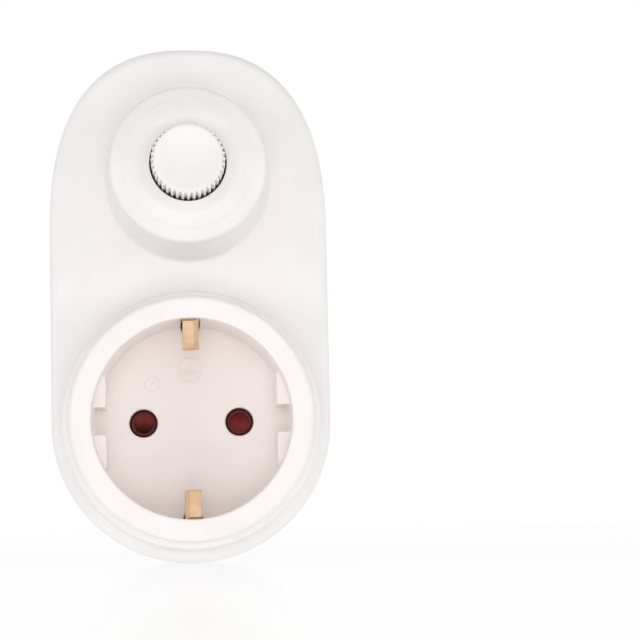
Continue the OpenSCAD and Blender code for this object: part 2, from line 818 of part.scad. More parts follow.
module shutter() {
    color("darkred") facing() difference() {
        union() {
            bar([0, 0], shutter_r, shutter_z, shutter_z + shutter_t - boss_h);
            for (side = [-1, 1]) bar([side * pin_x, 0], boss_r, shutter_z, shutter_z + shutter_t);
            bar([peg_reach, 0], peg_r, shutter_z - peg_l, shutter_z + shutter_t / 2);
        }
        bar([0, 0], pivot_r + run_gap, shutter_z - cut, shutter_z + shutter_t + cut);
        for (half = [0, 180]) rotate(half) {
            rotate(-shutter_turn) bar([pin_x, 0], window_r, shutter_z - cut, shutter_z + shutter_t + cut);
            intersection() {
                bar([pin_x, 0], ramp_r, shutter_z, shutter_z + shutter_t + cut);
                translate([pin_x, 0, shutter_z + shutter_t - ramp_depth]) rotate([-ramp_turn, 0, 0])
                    slab(3 * ramp_r, [-2 * ramp_r, 2 * ramp_r], [0, 2 * shutter_t]);
            }
        }
    }
}

// Middle line of the closing spring, whose least gap to itself is printed
function spring_line(i, n) = let (turn = 360 * spring_turns * i / n) [
    peg_reach + spring_pitch_r * cos(turn),
    spring_y + spring_l * i / n,
    spring_z + spring_pitch_r * sin(turn)
];

module shutter_spring() {
    per_turn = 12;
    n = per_turn * spring_turns;
    sides = 6;
    line = [for (i = [0 : n]) spring_line(i, n)];
    echo(least_gap = min([for (i = [per_turn : n]) norm(line[i] - line[i - per_turn])]) - spring_wire);
    rings = [for (i = [0 : n]) let (turn = 360 * spring_turns * i / n, out = [cos(turn), 0, sin(turn)])
        [for (s = [0 : sides - 1]) let (a = 360 * s / sides)
            line[i] + spring_wire / 2 * (cos(a) * out + sin(a) * [0, 1, 0])]];
    walls = [for (i = [0 : n - 1]) for (s = [0 : sides - 1])
        let (a = i * sides + s, b = i * sides + (s + 1) % sides)
        each [[a, b, b + sides], [a, b + sides, a + sides]]];
    caps = [[for (s = [sides - 1 : -1 : 0]) s], [for (s = [0 : sides - 1]) n * sides + s]];
    color("silver") facing() polyhedron([for (ring = rings) each ring], concat(walls, caps), convexity = 8);
}

module contact_carrier() {
    color("ivory") facing() difference() {
        bar([0, 0], carrier_r, carrier_z, carrier_top_z);
        bar([0, 0], shutter_pocket_r, pocket_z, carrier_top_z + cut);
        bar([0, 0], pivot_r + seat_gap, pocket_z - pivot_hole_depth, pocket_z + cut);
        left_and_right() {
            bar([pin_x, 0], sleeve_hole_r, carrier_z - cut, sleeve_top_z + seat_gap);
            bar([pin_x, 0], pin_hole_r, sleeve_top_z, pocket_z + cut);
        }
        translate([spring_pocket_x, -peg_r - peg_room, shutter_z - peg_drop])
            cube([spring_pocket_w, spring_pocket_end + peg_r + peg_room, peg_drop]);
        top_and_bottom()
            slab(slot_w, [slot_inner_y, carrier_r + cut], [carrier_z - cut, carrier_top_z + cut]);
        bar([0, 0], rivet_head_r + strip_room, carrier_z - cut, carrier_z + rivet_head_t + strip_room);
        translate([notch_x, notch_low_y, carrier_z - cut])
            cube([notch_w, carrier_r, notch_top_z - carrier_z + cut]);
    }
}

module contact_sleeve(side) {
    difference() {
        bar([side * pin_x, 0], sleeve_r, sleeve_z, sleeve_top_z);
        bar([side * pin_x, 0], sleeve_r - sleeve_t, sleeve_z - cut, sleeve_top_z + cut);
        translate([side * pin_x - (side > 0 ? sleeve_d : 0), -sleeve_slit / 2, sleeve_z - cut])
            cube([sleeve_d, sleeve_slit, sleeve_top_z - sleeve_z + 2 * cut]);
    }
}

module line_contact() {
    color("goldenrod") facing() {
        contact_sleeve(-1);
        translate([-pin_x - tail_w / 2, -tail_r, tail_low_z])
            cube([tail_w, tail_t, sleeve_z + tail_lap - tail_low_z]);
    }
}

module neutral_contact() {
    color("goldenrod") facing() {
        contact_sleeve(1);
        translate([pin_x + tail_r - tail_t, -tail_w / 2, tag_z])
            cube([tail_t, tail_w, sleeve_z + tail_lap - tag_z]);
        difference() {
            translate([pin_x - tag_w / 2, -tag_w / 2, tag_z]) cube([tag_w / 2 + tail_r, tag_w, tag_t]);
            bar([pin_x, 0], spigot_r + run_gap, tag_z - cut, tag_z + tag_t + cut);
        }
    }
}

module socket_earth_bow() {
    half = [
        [clip_end_y, mouth_z - clip_end_depth],
        [clip_reach + strip_t / 2, mouth_z - clip_bulge_depth],
        [clip_y, floor_z + clip_rise],
        [clip_y, front_bow_z]
    ];
    other = [for (p = reversed(half)) [-p[0], p[1]]];
    color("goldenrod") facing() difference() {
        bent_strip(concat(half, other), clip_w);
        bar([0, 0], rivet_r + run_gap, front_bow_z - strip_t, front_bow_z + strip_t);
    }
}

// Plug

module plug_earth_bow() {
    half = [[plug_strip_y, plug_face_t + plug_strip_lift], [plug_strip_y, rear_bow_z]];
    other = [for (p = reversed(half)) [-p[0], p[1]]];
    color("goldenrod") facing() difference() {
        bent_strip(concat(half, other), plug_strip_w);
        bar([0, 0], rivet_r + run_gap, rear_bow_z - strip_t, rear_bow_z + strip_t);
    }
}

module earth_rivet() {
    play = 0.03;
    low = rear_bow_z - strip_t / 2 - play;
    high = front_bow_z + strip_t / 2 + play;
    color("gold") facing() {
        bar([0, 0], rivet_r, low - rivet_head_t, high + rivet_head_t);
        bar([0, 0], rivet_head_r, low - rivet_head_t, low);
        bar([0, 0], rivet_head_r, high, high + rivet_head_t);
    }
}

module plug_pin(side) {
    x = side * pin_x;
    translate([x, 0, plug_pin_r - plug_pin_l]) sphere(r = plug_pin_r);
    bar([x, 0], plug_pin_r, plug_pin_r - plug_pin_l, pin_flange_t);
    bar([x, 0], pin_shank_r, 0, guide_top_z + pin_flange_t / 2);
    bar([x, 0], pin_flange_r, guide_top_z, guide_top_z + pin_flange_t);
    bar([x, 0], spigot_r, guide_top_z, spigot_head_z + spigot_head_t);
    bar([x, 0], spigot_head_r, spigot_head_z, spigot_head_z + spigot_head_t);
}

module line_pin() {
    color("silver") facing() plug_pin(-1);
}

module neutral_pin() {
    color("silver") facing() plug_pin(1);
}

module line_tag() {
    color("goldenrod") facing() difference() {
        translate([-pin_x - tag_w / 2, -tag_w / 2, tag_z]) cube([tag_w, tag_w / 2 + tag_reach, tag_t]);
        bar([-pin_x, 0], spigot_r + run_gap, tag_z - cut, tag_z + tag_t + cut);
    }
}

module live_wire() {
    color("saddlebrown") facing() wire([
        [live_x, wire_up_y, tag_z + tag_t + solder_gap],
        [live_x, wire_up_y, wire_run_z],
        [live_x, wire_end_y, wire_run_z]
    ]);
}

module load_wire() {
    solder_y = -tail_r - wire_r - solder_gap;
    turn_z = tail_low_z - load_drop;
    color("black") facing() wire([
        [-pin_x, solder_y, tail_low_z + solder_l],
        [-pin_x, solder_y, turn_z],
        [load_x, solder_y, turn_z],
        [load_x, wire_up_y, turn_z],
        [load_x, wire_up_y, wire_run_z],
        [load_x, wire_end_y, wire_run_z]
    ]);
}

// Electronics

module circuit_board() {
    color("darkgreen") facing() difference() {
        intersection() {
            case_block(board_inset, board_z, board_top_z);
            slab(2 * case_r, [board_low, case_top], [board_z - cut, board_top_z + cut]);
        }
        for (spot = post_spots) bar(spot, post_r + post_gap, board_z - cut, board_top_z + cut);
        for (spot = board_screw_spots)
            bar(spot, board_screw_r + screw_room, board_z - cut, board_top_z + cut);
        for (spot = terminal_spots) bar(spot, terminal_r + terminal_room, board_z - cut, board_top_z + cut);
        bar(triac_spot, triac_hole_r, board_z - cut, board_top_z + cut);
    }
}

module board_screws() {
    head_r = board_screw_r + board_head_rim;
    color("silver") facing() for (spot = board_screw_spots) difference() {
        union() {
            bar(spot, board_screw_r, inner_rear_z + screw_room, board_top_z + board_head_t);
            bar(spot, head_r, board_top_z, board_top_z + board_head_t);
        }
        translate([spot[0], spot[1], board_top_z + board_head_t]) cross_recess();
    }
}

module potentiometer_housing() {
    color("lightsteelblue") facing() difference() {
        union() {
            bar([0, knob_y], pot_r, board_top_z, pot_top_z);
            bar([0, knob_y], bush_r, pot_top_z - pot_wall, bush_top_z);
        }
        bar([0, knob_y], pot_r - pot_wall, wafer_z, pot_top_z - pot_wall);
        bar([0, knob_y], shaft_r + run_gap, wafer_z, bush_top_z + cut);
        slab(wafer_tab_w + 2 * post_gap, [knob_y - pot_d, knob_y - pot_r / 2],
            [board_top_z - cut, wafer_z + wafer_t + terminal_room]);
    }
}

module resistance_track() {
    color("peru") facing() difference() {
        union() {
            bar([0, knob_y], wafer_r, wafer_z, wafer_z + wafer_t);
            slab(wafer_tab_w, [knob_y - wafer_r - wafer_tab_l, knob_y - tab_root * wafer_r],
                [wafer_z, wafer_z + wafer_t]);
            for (spot = terminal_spots) bar(spot, terminal_r, board_z - solder_h, wafer_z + wafer_t / 2);
        }
        bar([0, knob_y], shaft_r, wafer_z - cut, wafer_z + wafer_t + cut);
    }
}

module potentiometer_wiper() {
    color("dimgray") facing() difference() {
        union() {
            bar([0, knob_y], wiper_r, wiper_z, wiper_z + wiper_t);
            bar([0, knob_y], wiper_hub_r, wiper_z, wiper_hub_top_z);
            for (x = [-finger_x, finger_x])
                bar([x, knob_y], finger_r, wafer_z + wafer_t + finger_gap, wiper_z + wiper_t / 2);
        }
        bar([0, knob_y], shaft_r + run_gap, wiper_z - cut, wiper_hub_top_z + cut);
    }
}

// Round with a flat on its upper side, as the shaft and the knob's bore share it
module d_section(r, flat) {
    difference() {
        circle(r = r);
        translate([-r, flat]) square(2 * r);
    }
}

module potentiometer_shaft() {
    color("silver") facing() translate([0, knob_y, 0]) {
        bar([0, 0], shaft_r, wiper_z, shaft_flat_z);
        translate([0, 0, shaft_flat_z]) linear_extrude(shaft_top_z - shaft_flat_z)
            d_section(shaft_r, shaft_flat);
    }
}

// Section of the knob through its ribs: each has two points on its root and two on its tip
function rib_ring(root, tip) = [for (i = [0 : rib_count - 1]) for (k = [0 : 3])
    let (a = (i + rib_steps[k]) * 360 / rib_count, r = k < 2 ? root : tip) r * [cos(a), sin(a)]];

module dimmer_knob() {
    rib_top_z = knob_front_z - nose_l;
    nose_dish_r = nose_r - nose_round - nose_flat;
    nose_curve = [for (i = [round_points : -1 : 0]) let (share = i / round_points)
        [nose_dish_r * share, knob_front_z - nose_dish * (1 - pow(share, 2))]];
    color("white") facing() translate([0, knob_y, 0]) difference() {
        union() {
            translate([0, 0, knob_low_z]) linear_extrude(rib_top_z - knob_low_z)
                polygon(rib_ring(knob_root_r, knob_r));
            rotate_extrude() polygon(concat(
                [[0, rib_top_z - cut], [nose_r, rib_top_z - cut]],
                arc([nose_r - nose_round, knob_front_z - nose_round], nose_round, 0, 90),
                nose_curve
            ));
        }
        difference() {
            bar([0, 0], knob_root_r - knob_wall, knob_low_z - cut, knob_front_z - knob_cap_t);
            bar([0, 0], hub_r, knob_low_z - 2 * cut, knob_front_z);
        }
        bar([0, 0], knob_bore_r, knob_low_z - cut, shaft_flat_z + 2 * seat_gap);
        translate([0, 0, shaft_flat_z]) linear_extrude(knob_bore_z - shaft_flat_z)
            d_section(knob_bore_r, shaft_flat + run_gap);
    }
}

module triac() {
    level = board_top_z + sink_t + tab_t;
    color("black") facing() translate([triac_x - triac_size[0] / 2, triac_y, level])
        cube([triac_size[0], triac_size[1], triac_size[2] - tab_t]);
}

module triac_tab() {
    level = board_top_z + sink_t;
    leg_z = level + tab_t;
    color("lightgray") facing() {
        difference() {
            translate([triac_x - triac_size[0] / 2, triac_y, level]) cube([triac_size[0], tab_l, tab_t]);
            bar(triac_spot, triac_hole_r, level - cut, level + tab_t + cut);
        }
        for (i = [-1 : 1]) {
            leg_x = triac_x + i * triac_leg_pitch - triac_leg_w / 2;
            translate([leg_x, triac_y - triac_leg_l, leg_z - triac_leg_w])
                cube([triac_leg_w, triac_leg_l + cut, triac_leg_w]);
            translate([leg_x, triac_y - triac_leg_l, board_top_z])
                cube([triac_leg_w, triac_leg_w, leg_z - board_top_z]);
        }
    }
}

module heat_sink() {
    color("lightgray") facing() difference() {
        union() {
            translate([triac_x - sink_w / 2, triac_y + sink_margin, board_top_z])
                cube([sink_w, tab_l + sink_t, sink_t]);
            translate([triac_x - sink_w / 2, triac_y + tab_l + sink_margin, board_top_z])
                cube([sink_w, sink_t, sink_fin_h]);
        }
        bar(triac_spot, triac_hole_r, board_top_z - cut, board_top_z + sink_t + cut);
    }
}

module triac_screw() {
    head_z = board_top_z + sink_t + tab_t;
    head_t = 1.8;
    head_r = 2.1;
    nut_t = 1.6;
    nut_r = 2.4;
    color("silver") facing() translate(triac_spot) difference() {
        union() {
            bar([0, 0], triac_hole_r - seat_gap, board_z - nut_t, head_z + head_t);
            bar([0, 0], head_r, head_z, head_z + head_t);
            translate([0, 0, board_z - nut_t]) cylinder(h = nut_t, r = nut_r, $fn = 6);
        }
        translate([0, 0, head_z + head_t]) cross_recess();
    }
}

module choke_core() {
    color("dimgray") facing() {
        bar(choke_pos, choke_d / 2, board_top_z, board_top_z + choke_flange);
        bar(choke_pos, choke_d / 4, board_top_z, board_top_z + tall_h);
        bar(choke_pos, choke_d / 2, board_top_z + tall_h - choke_flange, board_top_z + tall_h);
    }
}

module choke_winding() {
    low = board_top_z + choke_flange + run_gap;
    high = board_top_z + tall_h - choke_flange - run_gap;
    color("sienna") facing() difference() {
        bar(choke_pos, choke_d / 2 - choke_rim, low, high);
        bar(choke_pos, choke_d / 4 + run_gap, low - cut, high + cut);
    }
}

module suppression_capacitor() {
    color("gold") facing() translate([cap_pos[0], cap_pos[1], board_top_z])
        translate([-cap_size[0] / 2, -cap_size[1] / 2, 0]) cube([cap_size[0], cap_size[1], tall_h]);
}

module timing_capacitor() {
    color("crimson") facing() translate([timer_cap_pos[0], timer_cap_pos[1], board_top_z])
        translate([-timer_cap_size[0] / 2, -timer_cap_size[1] / 2, 0]) cube(timer_cap_size);
}

module resistors() {
    color("tan") facing() for (step = resistor_steps)
        axial_part([case_r - resistor_in, knob_y + step], resistor_r, resistor_l);
}

module diac() {
    color("royalblue") facing() axial_part(diac_pos, diac_r, diac_l);
}

module fuse_bar(from_x, to_x, r) {
    translate([from_x, fuse_y, fuse_z]) rotate([0, 90, 0]) cylinder(h = to_x - from_x, r = r);
}

module fuse_glass() {
    end_x = fuse_l / 2 - fuse_cap_t - run_gap;
    color("lightcyan", 0.6) facing() fuse_bar(-end_x, end_x, fuse_d / 2 - fuse_cap_t - run_gap);
}

module fuse_caps() {
    color("silver") facing() left_and_right() difference() {
        fuse_bar(fuse_l / 2 - fuse_cap_l, fuse_l / 2, fuse_d / 2);
        fuse_bar(fuse_l / 2 - fuse_cap_l - cut, fuse_l / 2 - fuse_cap_t, fuse_d / 2 - fuse_cap_t);
    }
}

module fuse_clips() {
    grip = fuse_d / 2 + run_gap;
    side_h = fuse_z + fuse_d / 4 - board_top_z;
    low_h = fuse_z - grip - board_top_z;
    color("lightgray") facing() left_and_right()
        translate([fuse_l / 2 - fuse_cap_l / 2 - clip_len / 2, fuse_y, board_top_z]) {
            translate([0, -grip - clip_sheet, 0]) cube([clip_len, 2 * (grip + clip_sheet), low_h]);
            for (side = [-1, 1]) translate([0, side * (grip + clip_sheet / 2) - clip_sheet / 2, 0])
                cube([clip_len, clip_sheet, side_h]);
        }
}

front_cover();
rear_cover();
socket_insert();
shutter();
shutter_spring();
contact_carrier();
line_contact();
neutral_contact();
socket_earth_bow();
plug_earth_bow();
earth_rivet();
line_pin();
neutral_pin();
line_tag();
live_wire();
load_wire();
circuit_board();
board_screws();
potentiometer_housing();
resistance_track();
potentiometer_wiper();
potentiometer_shaft();
dimmer_knob();
triac();
triac_tab();
heat_sink();
triac_screw();
choke_core();
choke_winding();
suppression_capacitor();
timing_capacitor();
resistors();
diac();
fuse_glass();
fuse_caps();
fuse_clips();
case_screws();
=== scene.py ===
import bpy
import bmesh
import math
from mathutils import Matrix, Vector


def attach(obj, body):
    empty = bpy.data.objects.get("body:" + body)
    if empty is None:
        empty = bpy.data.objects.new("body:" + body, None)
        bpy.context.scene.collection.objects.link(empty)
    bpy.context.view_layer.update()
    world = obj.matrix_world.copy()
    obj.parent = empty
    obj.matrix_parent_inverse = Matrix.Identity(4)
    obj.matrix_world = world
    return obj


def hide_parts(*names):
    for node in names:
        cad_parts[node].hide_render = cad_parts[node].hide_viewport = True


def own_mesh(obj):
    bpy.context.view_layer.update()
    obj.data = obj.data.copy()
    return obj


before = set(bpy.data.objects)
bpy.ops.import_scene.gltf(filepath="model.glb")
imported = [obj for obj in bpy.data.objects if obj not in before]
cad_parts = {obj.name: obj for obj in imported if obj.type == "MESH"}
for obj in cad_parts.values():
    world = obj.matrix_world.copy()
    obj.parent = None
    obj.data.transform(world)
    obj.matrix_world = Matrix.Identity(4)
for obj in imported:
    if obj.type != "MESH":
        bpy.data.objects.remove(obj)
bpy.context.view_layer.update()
mm = 0.001

# Pieces are drawn in a front view in millimetres: x right, y up, z towards the user, z = 0 on the plug face
frontToFrame = Matrix(((mm, 0, 0, 0), (0, 0, -mm, 0), (0, mm, 0, 0), (0, 0, 0, 1)))


class Wire:
    # a socket in a node tree, with the maths that is used on it
    def __init__(self, tree, socket=None):
        self.tree = tree
        self.socket = socket

    def node(self, kind, settings=None, values=None, output=0):
        made = self.tree.nodes.new(kind)
        for name, value in (settings or {}).items():
            setattr(made, name, value)
        wireUp(made, values or {})
        return Wire(self.tree, made.outputs[output])

    def maths(self, operation, first, second=0.0):
        return self.node("ShaderNodeMath", {"operation": operation}, {0: first, 1: second})

    def __add__(self, other):
        return self.maths("ADD", self, other)

    def __radd__(self, other):
        return self.maths("ADD", other, self)

    def __sub__(self, other):
        return self.maths("SUBTRACT", self, other)

    def __rsub__(self, other):
        return self.maths("SUBTRACT", other, self)

    def __mul__(self, other):
        return self.maths("MULTIPLY", self, other)

    def __rmul__(self, other):
        return self.maths("MULTIPLY", other, self)

    def __truediv__(self, other):
        return self.maths("DIVIDE", self, other)

    def __gt__(self, other):
        return self.maths("GREATER_THAN", self, other)

    def __lt__(self, other):
        return self.maths("LESS_THAN", self, other)

    def larger(self, other):
        return self.maths("MAXIMUM", self, other)

    def waves(self, pitch, drift=0.0):  # up and down between 0 and 1, once in every pitch
        return self.maths("SINE", self * (2 * math.pi / pitch) + drift) * 0.5 + 0.5

    def ease(self, low, high):  # 0 below low, 1 above high, a soft slope between
        return self.node("ShaderNodeMapRange", {"interpolation_type": "SMOOTHSTEP"},
                         {"Value": self, "From Min": low, "From Max": high})

    def noise(self, size, detail=2.0, rough=0.5):  # size of a blotch in metres
        return self.node("ShaderNodeTexNoise", None,
                         {"Vector": self, "Scale": 1 / size, "Detail": detail, "Roughness": rough})

    def stretched(self, scale):
        return self.node("ShaderNodeMapping", None, {"Vector": self, "Scale": scale})

    def parts(self):  # x, y and z of a vector
        split = self.tree.nodes.new("ShaderNodeSeparateXYZ")
        self.tree.links.new(self.socket, split.inputs[0])
        return [Wire(self.tree, out) for out in split.outputs]

    def blend(self, first, second):  # this wire mixes two colours
        return self.node("ShaderNodeMix", {"data_type": "RGBA"}, {0: self, 6: first, 7: second}, 2)

    def mixShaders(self, first, second):  # this wire mixes two shaders
        return self.node("ShaderNodeMixShader", None, {0: self, 1: first, 2: second})

    def bump(self, depth):  # this wire is the height, depth in metres
        return self.node("ShaderNodeBump", None, {"Height": self, "Distance": depth, "Strength": 1.0})


def rgb(red, green, blue):  # a colour as a picture shows it, 0 to 255, brought to linear by the sRGB curve
    def linear(v):
        v = v / 255
        return v / 12.92 if v <= 0.04045 else ((v + 0.055) / 1.055) ** 2.4
    return (linear(red), linear(green), linear(blue), 1)


def newFinish(name):
    material = bpy.data.materials.new(name)
    material.use_nodes = True
    tree = material.node_tree
    shader = tree.nodes["Principled BSDF"]
    place = Wire(tree).node("ShaderNodeTexCoord", output="Object")
    return material, shader, place


def wireUp(node, values):  # a wire is linked to its input, anything else is set there
    for name, value in values.items():
        if isinstance(value, Wire):
            value.tree.links.new(value.socket, node.inputs[name])
        else:
            node.inputs[name].default_value = value


# Moulded plastic: faint clouding, the grain of an eroded mould and a few paler flow marks
plasticLook = {"cloud": 9 * mm, "flow": 14 * mm, "fine": 0.16 * mm, "pits": 0.5 * mm,
               "unevenGloss": 0.05, "bend": 1.5}


def mouldedPlastic(name, pale, deep, gloss, grain):
    p = plasticLook
    material, shader, place = newFinish(name)
    cloud = place.noise(p["cloud"], detail=3.0).ease(0.3, 0.7)
    flow = place.stretched((1, 1, 0.25)).noise(p["flow"]).ease(0.45, 0.75)
    fine = place.noise(p["fine"])
    pits = place.noise(p["pits"], detail=3.0)
    rough = gloss + (cloud - 0.5) * p["unevenGloss"] + (fine - 0.5) * p["unevenGloss"]
    wireUp(shader, {"Base Color": (cloud * 0.7 + flow * 0.3).blend(deep, pale), "Roughness": rough,
                    "Normal": (fine * 0.6 + pits * 0.4).bump(grain), "IOR": p["bend"]})
    return material


# Shutter plastic: deep red, with painted shade deep in the pockets, stronger on one side, and painted shade
# on the boss rims
shutterPaintedShade = {"pocketShadeTop": 32.4, "pocketShadeLow": 31.2, "pocketShadeTilt": 0.05, "rimShadeTop": 33.25, "rimShadeLow": 33.05,
               "cloud": 2 * mm, "fine": 0.2 * mm, "relief": 0.008 * mm, "shine": 0.2}


def shutterPlastic(name, pale, deep, pocketShadeColour, rimShadeColour):
    w = shutterPaintedShade
    material, shader, place = newFinish(name)
    cloud = place.noise(w["cloud"], detail=3.0).ease(0.3, 0.7)
    fine = place.noise(w["fine"])
    x, y = place.parts()[:2]  # y runs away from the user, so the levels are negative along it
    # painted shade: darker the deeper the surface lies, tilted across x so one side is darker
    sunk = (y - x * w["pocketShadeTilt"]).ease(-w["pocketShadeTop"] * mm, -w["pocketShadeLow"] * mm)
    # painted shade on the boss rims around the pockets
    rim = 1 - y.ease(-w["rimShadeTop"] * mm, -w["rimShadeLow"] * mm)
    wireUp(shader, {"Base Color": rim.blend(sunk.blend(cloud.blend(deep, pale), pocketShadeColour), rimShadeColour),
                    "Roughness": 0.4 + sunk * 0.2 + (fine - 0.5) * 0.06, "Normal": fine.bump(w["relief"]),
                    "Specular IOR Level": w["shine"]})
    return material


# Sheet or turned metal: fine lines along one direction, a little tarnish in patches
metalLook = {"line": 0.25 * mm, "lineDepth": 0.004 * mm, "patch": 2.2 * mm, "spot": 0.35 * mm}


def workedMetal(name, bright, dull, gloss, lineScale):
    m = metalLook
    material, shader, place = newFinish(name)
    lines = place.stretched(lineScale).noise(m["line"], detail=3.0, rough=0.6)
    tarnish = place.noise(m["patch"], detail=4.0, rough=0.6).ease(0.42, 0.72)
    spots = place.noise(m["spot"]).ease(0.62, 0.78)
    rough = gloss + tarnish * 0.12 + (lines - 0.5) * 0.16
    wireUp(shader, {"Base Color": (tarnish * 0.8 + spots * 0.2).blend(bright, dull), "Roughness": rough,
                    "Normal": lines.bump(m["lineDepth"]), "Metallic": 1.0})
    return material


# Circuit board: green mask, paler over the raised tracks, with the weave of the glass cloth just showing
boardLook = {"acrossPitch": 5.2 * mm, "acrossBend": 7 * mm, "alongPitch": 6.1 * mm, "alongBend": 8 * mm,
             "wander": 3.0, "weave": 0.45 * mm, "relief": 0.03 * mm}


def boardMask(name, mask, track):
    b = boardLook
    material, shader, place = newFinish(name)
    x, _, z = place.parts()
    across = x.waves(b["acrossPitch"], place.noise(b["acrossBend"]) * b["wander"])
    along = z.waves(b["alongPitch"], place.noise(b["alongBend"]) * b["wander"])
    tracks = (across > 0.84) + (along > 0.86) * (across < 0.5)
    weave = x.waves(b["weave"]) * z.waves(b["weave"])
    wireUp(shader, {"Base Color": tracks.ease(0.2, 0.8).blend(mask, track), "Roughness": 0.32 + weave * 0.1,
                    "Normal": (tracks * 0.8 + weave * 0.2).bump(b["relief"])})
    return material


# Lacquered body of a small component with coloured rings along its length
lacquerLook = {"ringHalf": 0.22 * mm, "shade": 0.82, "blotch": 1.2 * mm, "dull": 0.6 * mm,
               "lump": 0.8 * mm, "relief": 0.01 * mm}


def ringedLacquer(name, body, ringColours, start, pitch):
    k = lacquerLook
    material, shader, place = newFinish(name)
    x = place.parts()[0]
    shaded = tuple(c * k["shade"] for c in body[:3]) + (1,)
    colour = place.noise(k["blotch"], detail=3.0).ease(0.3, 0.7).blend(body, shaded)
    for i, ringColour in enumerate(ringColours):
        middle = start + i * pitch
        inRing = (x > middle - k["ringHalf"]) * (x < middle + k["ringHalf"])
        colour = inRing.blend(colour, ringColour)
    wireUp(shader, {"Base Color": colour, "Roughness": 0.3 + place.noise(k["dull"]) * 0.12,
                    "Normal": place.noise(k["lump"], detail=3.0).bump(k["relief"])})
    return material


# Enamelled wire wound in close turns
windingLook = {"pitch": 0.5 * mm, "wander": 1.2, "wanderSize": 1.5 * mm, "relief": 0.08 * mm, "metal": 0.85}


def woundWire(name, pale, deep):
    k = windingLook
    material, shader, place = newFinish(name)
    turns = place.parts()[1].waves(k["pitch"], place.noise(k["wanderSize"]) * k["wander"])
    # the grooves between turns take the deep colour: painted shade
    wireUp(shader, {"Base Color": turns.ease(0.15, 0.85).blend(deep, pale), "Roughness": 0.34 - turns * 0.08,
                    "Normal": turns.bump(k["relief"]), "Metallic": k["metal"]})
    return material


# Glass tube with faint streaks along its length
glassLook = {"streak": 1.1 * mm, "clear": 0.85, "bend": 1.47}


def tubeGlass(name, pale, deep):
    material, shader, place = newFinish(name)
    streak = place.stretched((0.2, 1, 1)).noise(glassLook["streak"], detail=3.0)
    wireUp(shader, {"Base Color": streak.ease(0.3, 0.7).blend(pale, deep), "Roughness": 0.04 + streak * 0.06,
                    "Transmission Weight": glassLook["clear"], "IOR": glassLook["bend"]})
    return material


# Two colours, then the gloss, then the depth of the grain of a plastic or the direction of a metal's lines
finishes = {
    "case_white": mouldedPlastic("caseWhite", rgb(243, 240, 238), rgb(239, 235, 233), 0.36, 0.006 * mm),
    "insert_white": mouldedPlastic("insertWhite", rgb(247, 241, 238), rgb(243, 236, 232), 0.4, 0.007 * mm),
    "knob_white": mouldedPlastic("knobWhite", rgb(240, 237, 234), rgb(236, 232, 229), 0.3, 0.004 * mm),
    # the shutter's red carries painted shade in its pockets and on its boss rims
    "shutter_red": shutterPlastic("shutterRed", rgb(138, 46, 48), rgb(124, 39, 41),
                                  pocketShadeColour=rgb(62, 15, 17), rimShadeColour=rgb(92, 26, 30)),
    "carrier_ivory": mouldedPlastic("carrierIvory", rgb(228, 220, 200), rgb(214, 204, 180), 0.5, 0.01 * mm),
    "contact_brass": workedMetal("contactBrass", rgb(244, 213, 178), rgb(228, 195, 157), 0.34, (0.12, 1, 1)),
    "nickel": workedMetal("pinNickel", rgb(212, 209, 203), rgb(200, 196, 190), 0.2, (1, 0.15, 1)),
    "steel": workedMetal("zincSteel", rgb(196, 198, 200), rgb(150, 150, 148), 0.32, (1, 1, 0.3)),
    "wire_brown": mouldedPlastic("wireBrown", rgb(108, 66, 40), rgb(88, 52, 32), 0.42, 0.006 * mm),
    "wire_black": mouldedPlastic("wireBlack", rgb(38, 38, 40), rgb(24, 24, 26), 0.42, 0.006 * mm),
    "board_green": boardMask("boardGreen", rgb(22, 84, 50), rgb(62, 128, 74)),
    "pot_metal": workedMetal("potMetal", rgb(190, 194, 198), rgb(150, 154, 156), 0.34, (1, 1, 0.2)),
    "wafer_brown": mouldedPlastic("waferBrown", rgb(150, 104, 62), rgb(124, 82, 46), 0.55, 0.01 * mm),
    "wiper_grey": mouldedPlastic("wiperGrey", rgb(96, 98, 100), rgb(74, 76, 78), 0.5, 0.01 * mm),
    "black_resin": mouldedPlastic("blackResin", rgb(46, 46, 46), rgb(30, 30, 30), 0.56, 0.012 * mm),
    "tinned_copper": workedMetal("tinnedCopper", rgb(204, 204, 200), rgb(170, 168, 160), 0.3, (1, 1, 0.2)),
    "sink_aluminium": workedMetal("sinkAluminium", rgb(200, 202, 204), rgb(176, 178, 180), 0.38, (0.1, 1, 1)),
    "ferrite": mouldedPlastic("ferriteGrey", rgb(66, 66, 68), rgb(46, 46, 48), 0.62, 0.02 * mm),
    "winding_sleeve": woundWire("windingCopper", rgb(206, 126, 70), rgb(120, 62, 30)),
    "capacitor_yellow": mouldedPlastic("capacitorYellow", rgb(236, 196, 60), rgb(220, 176, 44),
                                       0.4, 0.008 * mm),
    "capacitor_red": mouldedPlastic("capacitorRed", rgb(184, 58, 40), rgb(160, 44, 32), 0.32, 0.008 * mm),
    "resistor_tan": ringedLacquer("resistorTan", rgb(214, 186, 140),
                                  [rgb(130, 78, 40), rgb(24, 24, 24), rgb(214, 120, 30), rgb(180, 150, 60)],
                                  start=16.6 * mm, pitch=1.1 * mm),
    "diac_blue": ringedLacquer("diacBlue", rgb(64, 96, 168), [rgb(20, 22, 26)],
                               start=16.6 * mm, pitch=1.0 * mm),
    "fuse_tube": tubeGlass("fuseTube", rgb(226, 236, 236), rgb(206, 220, 222)),
}
print("finishes:", len(finishes))


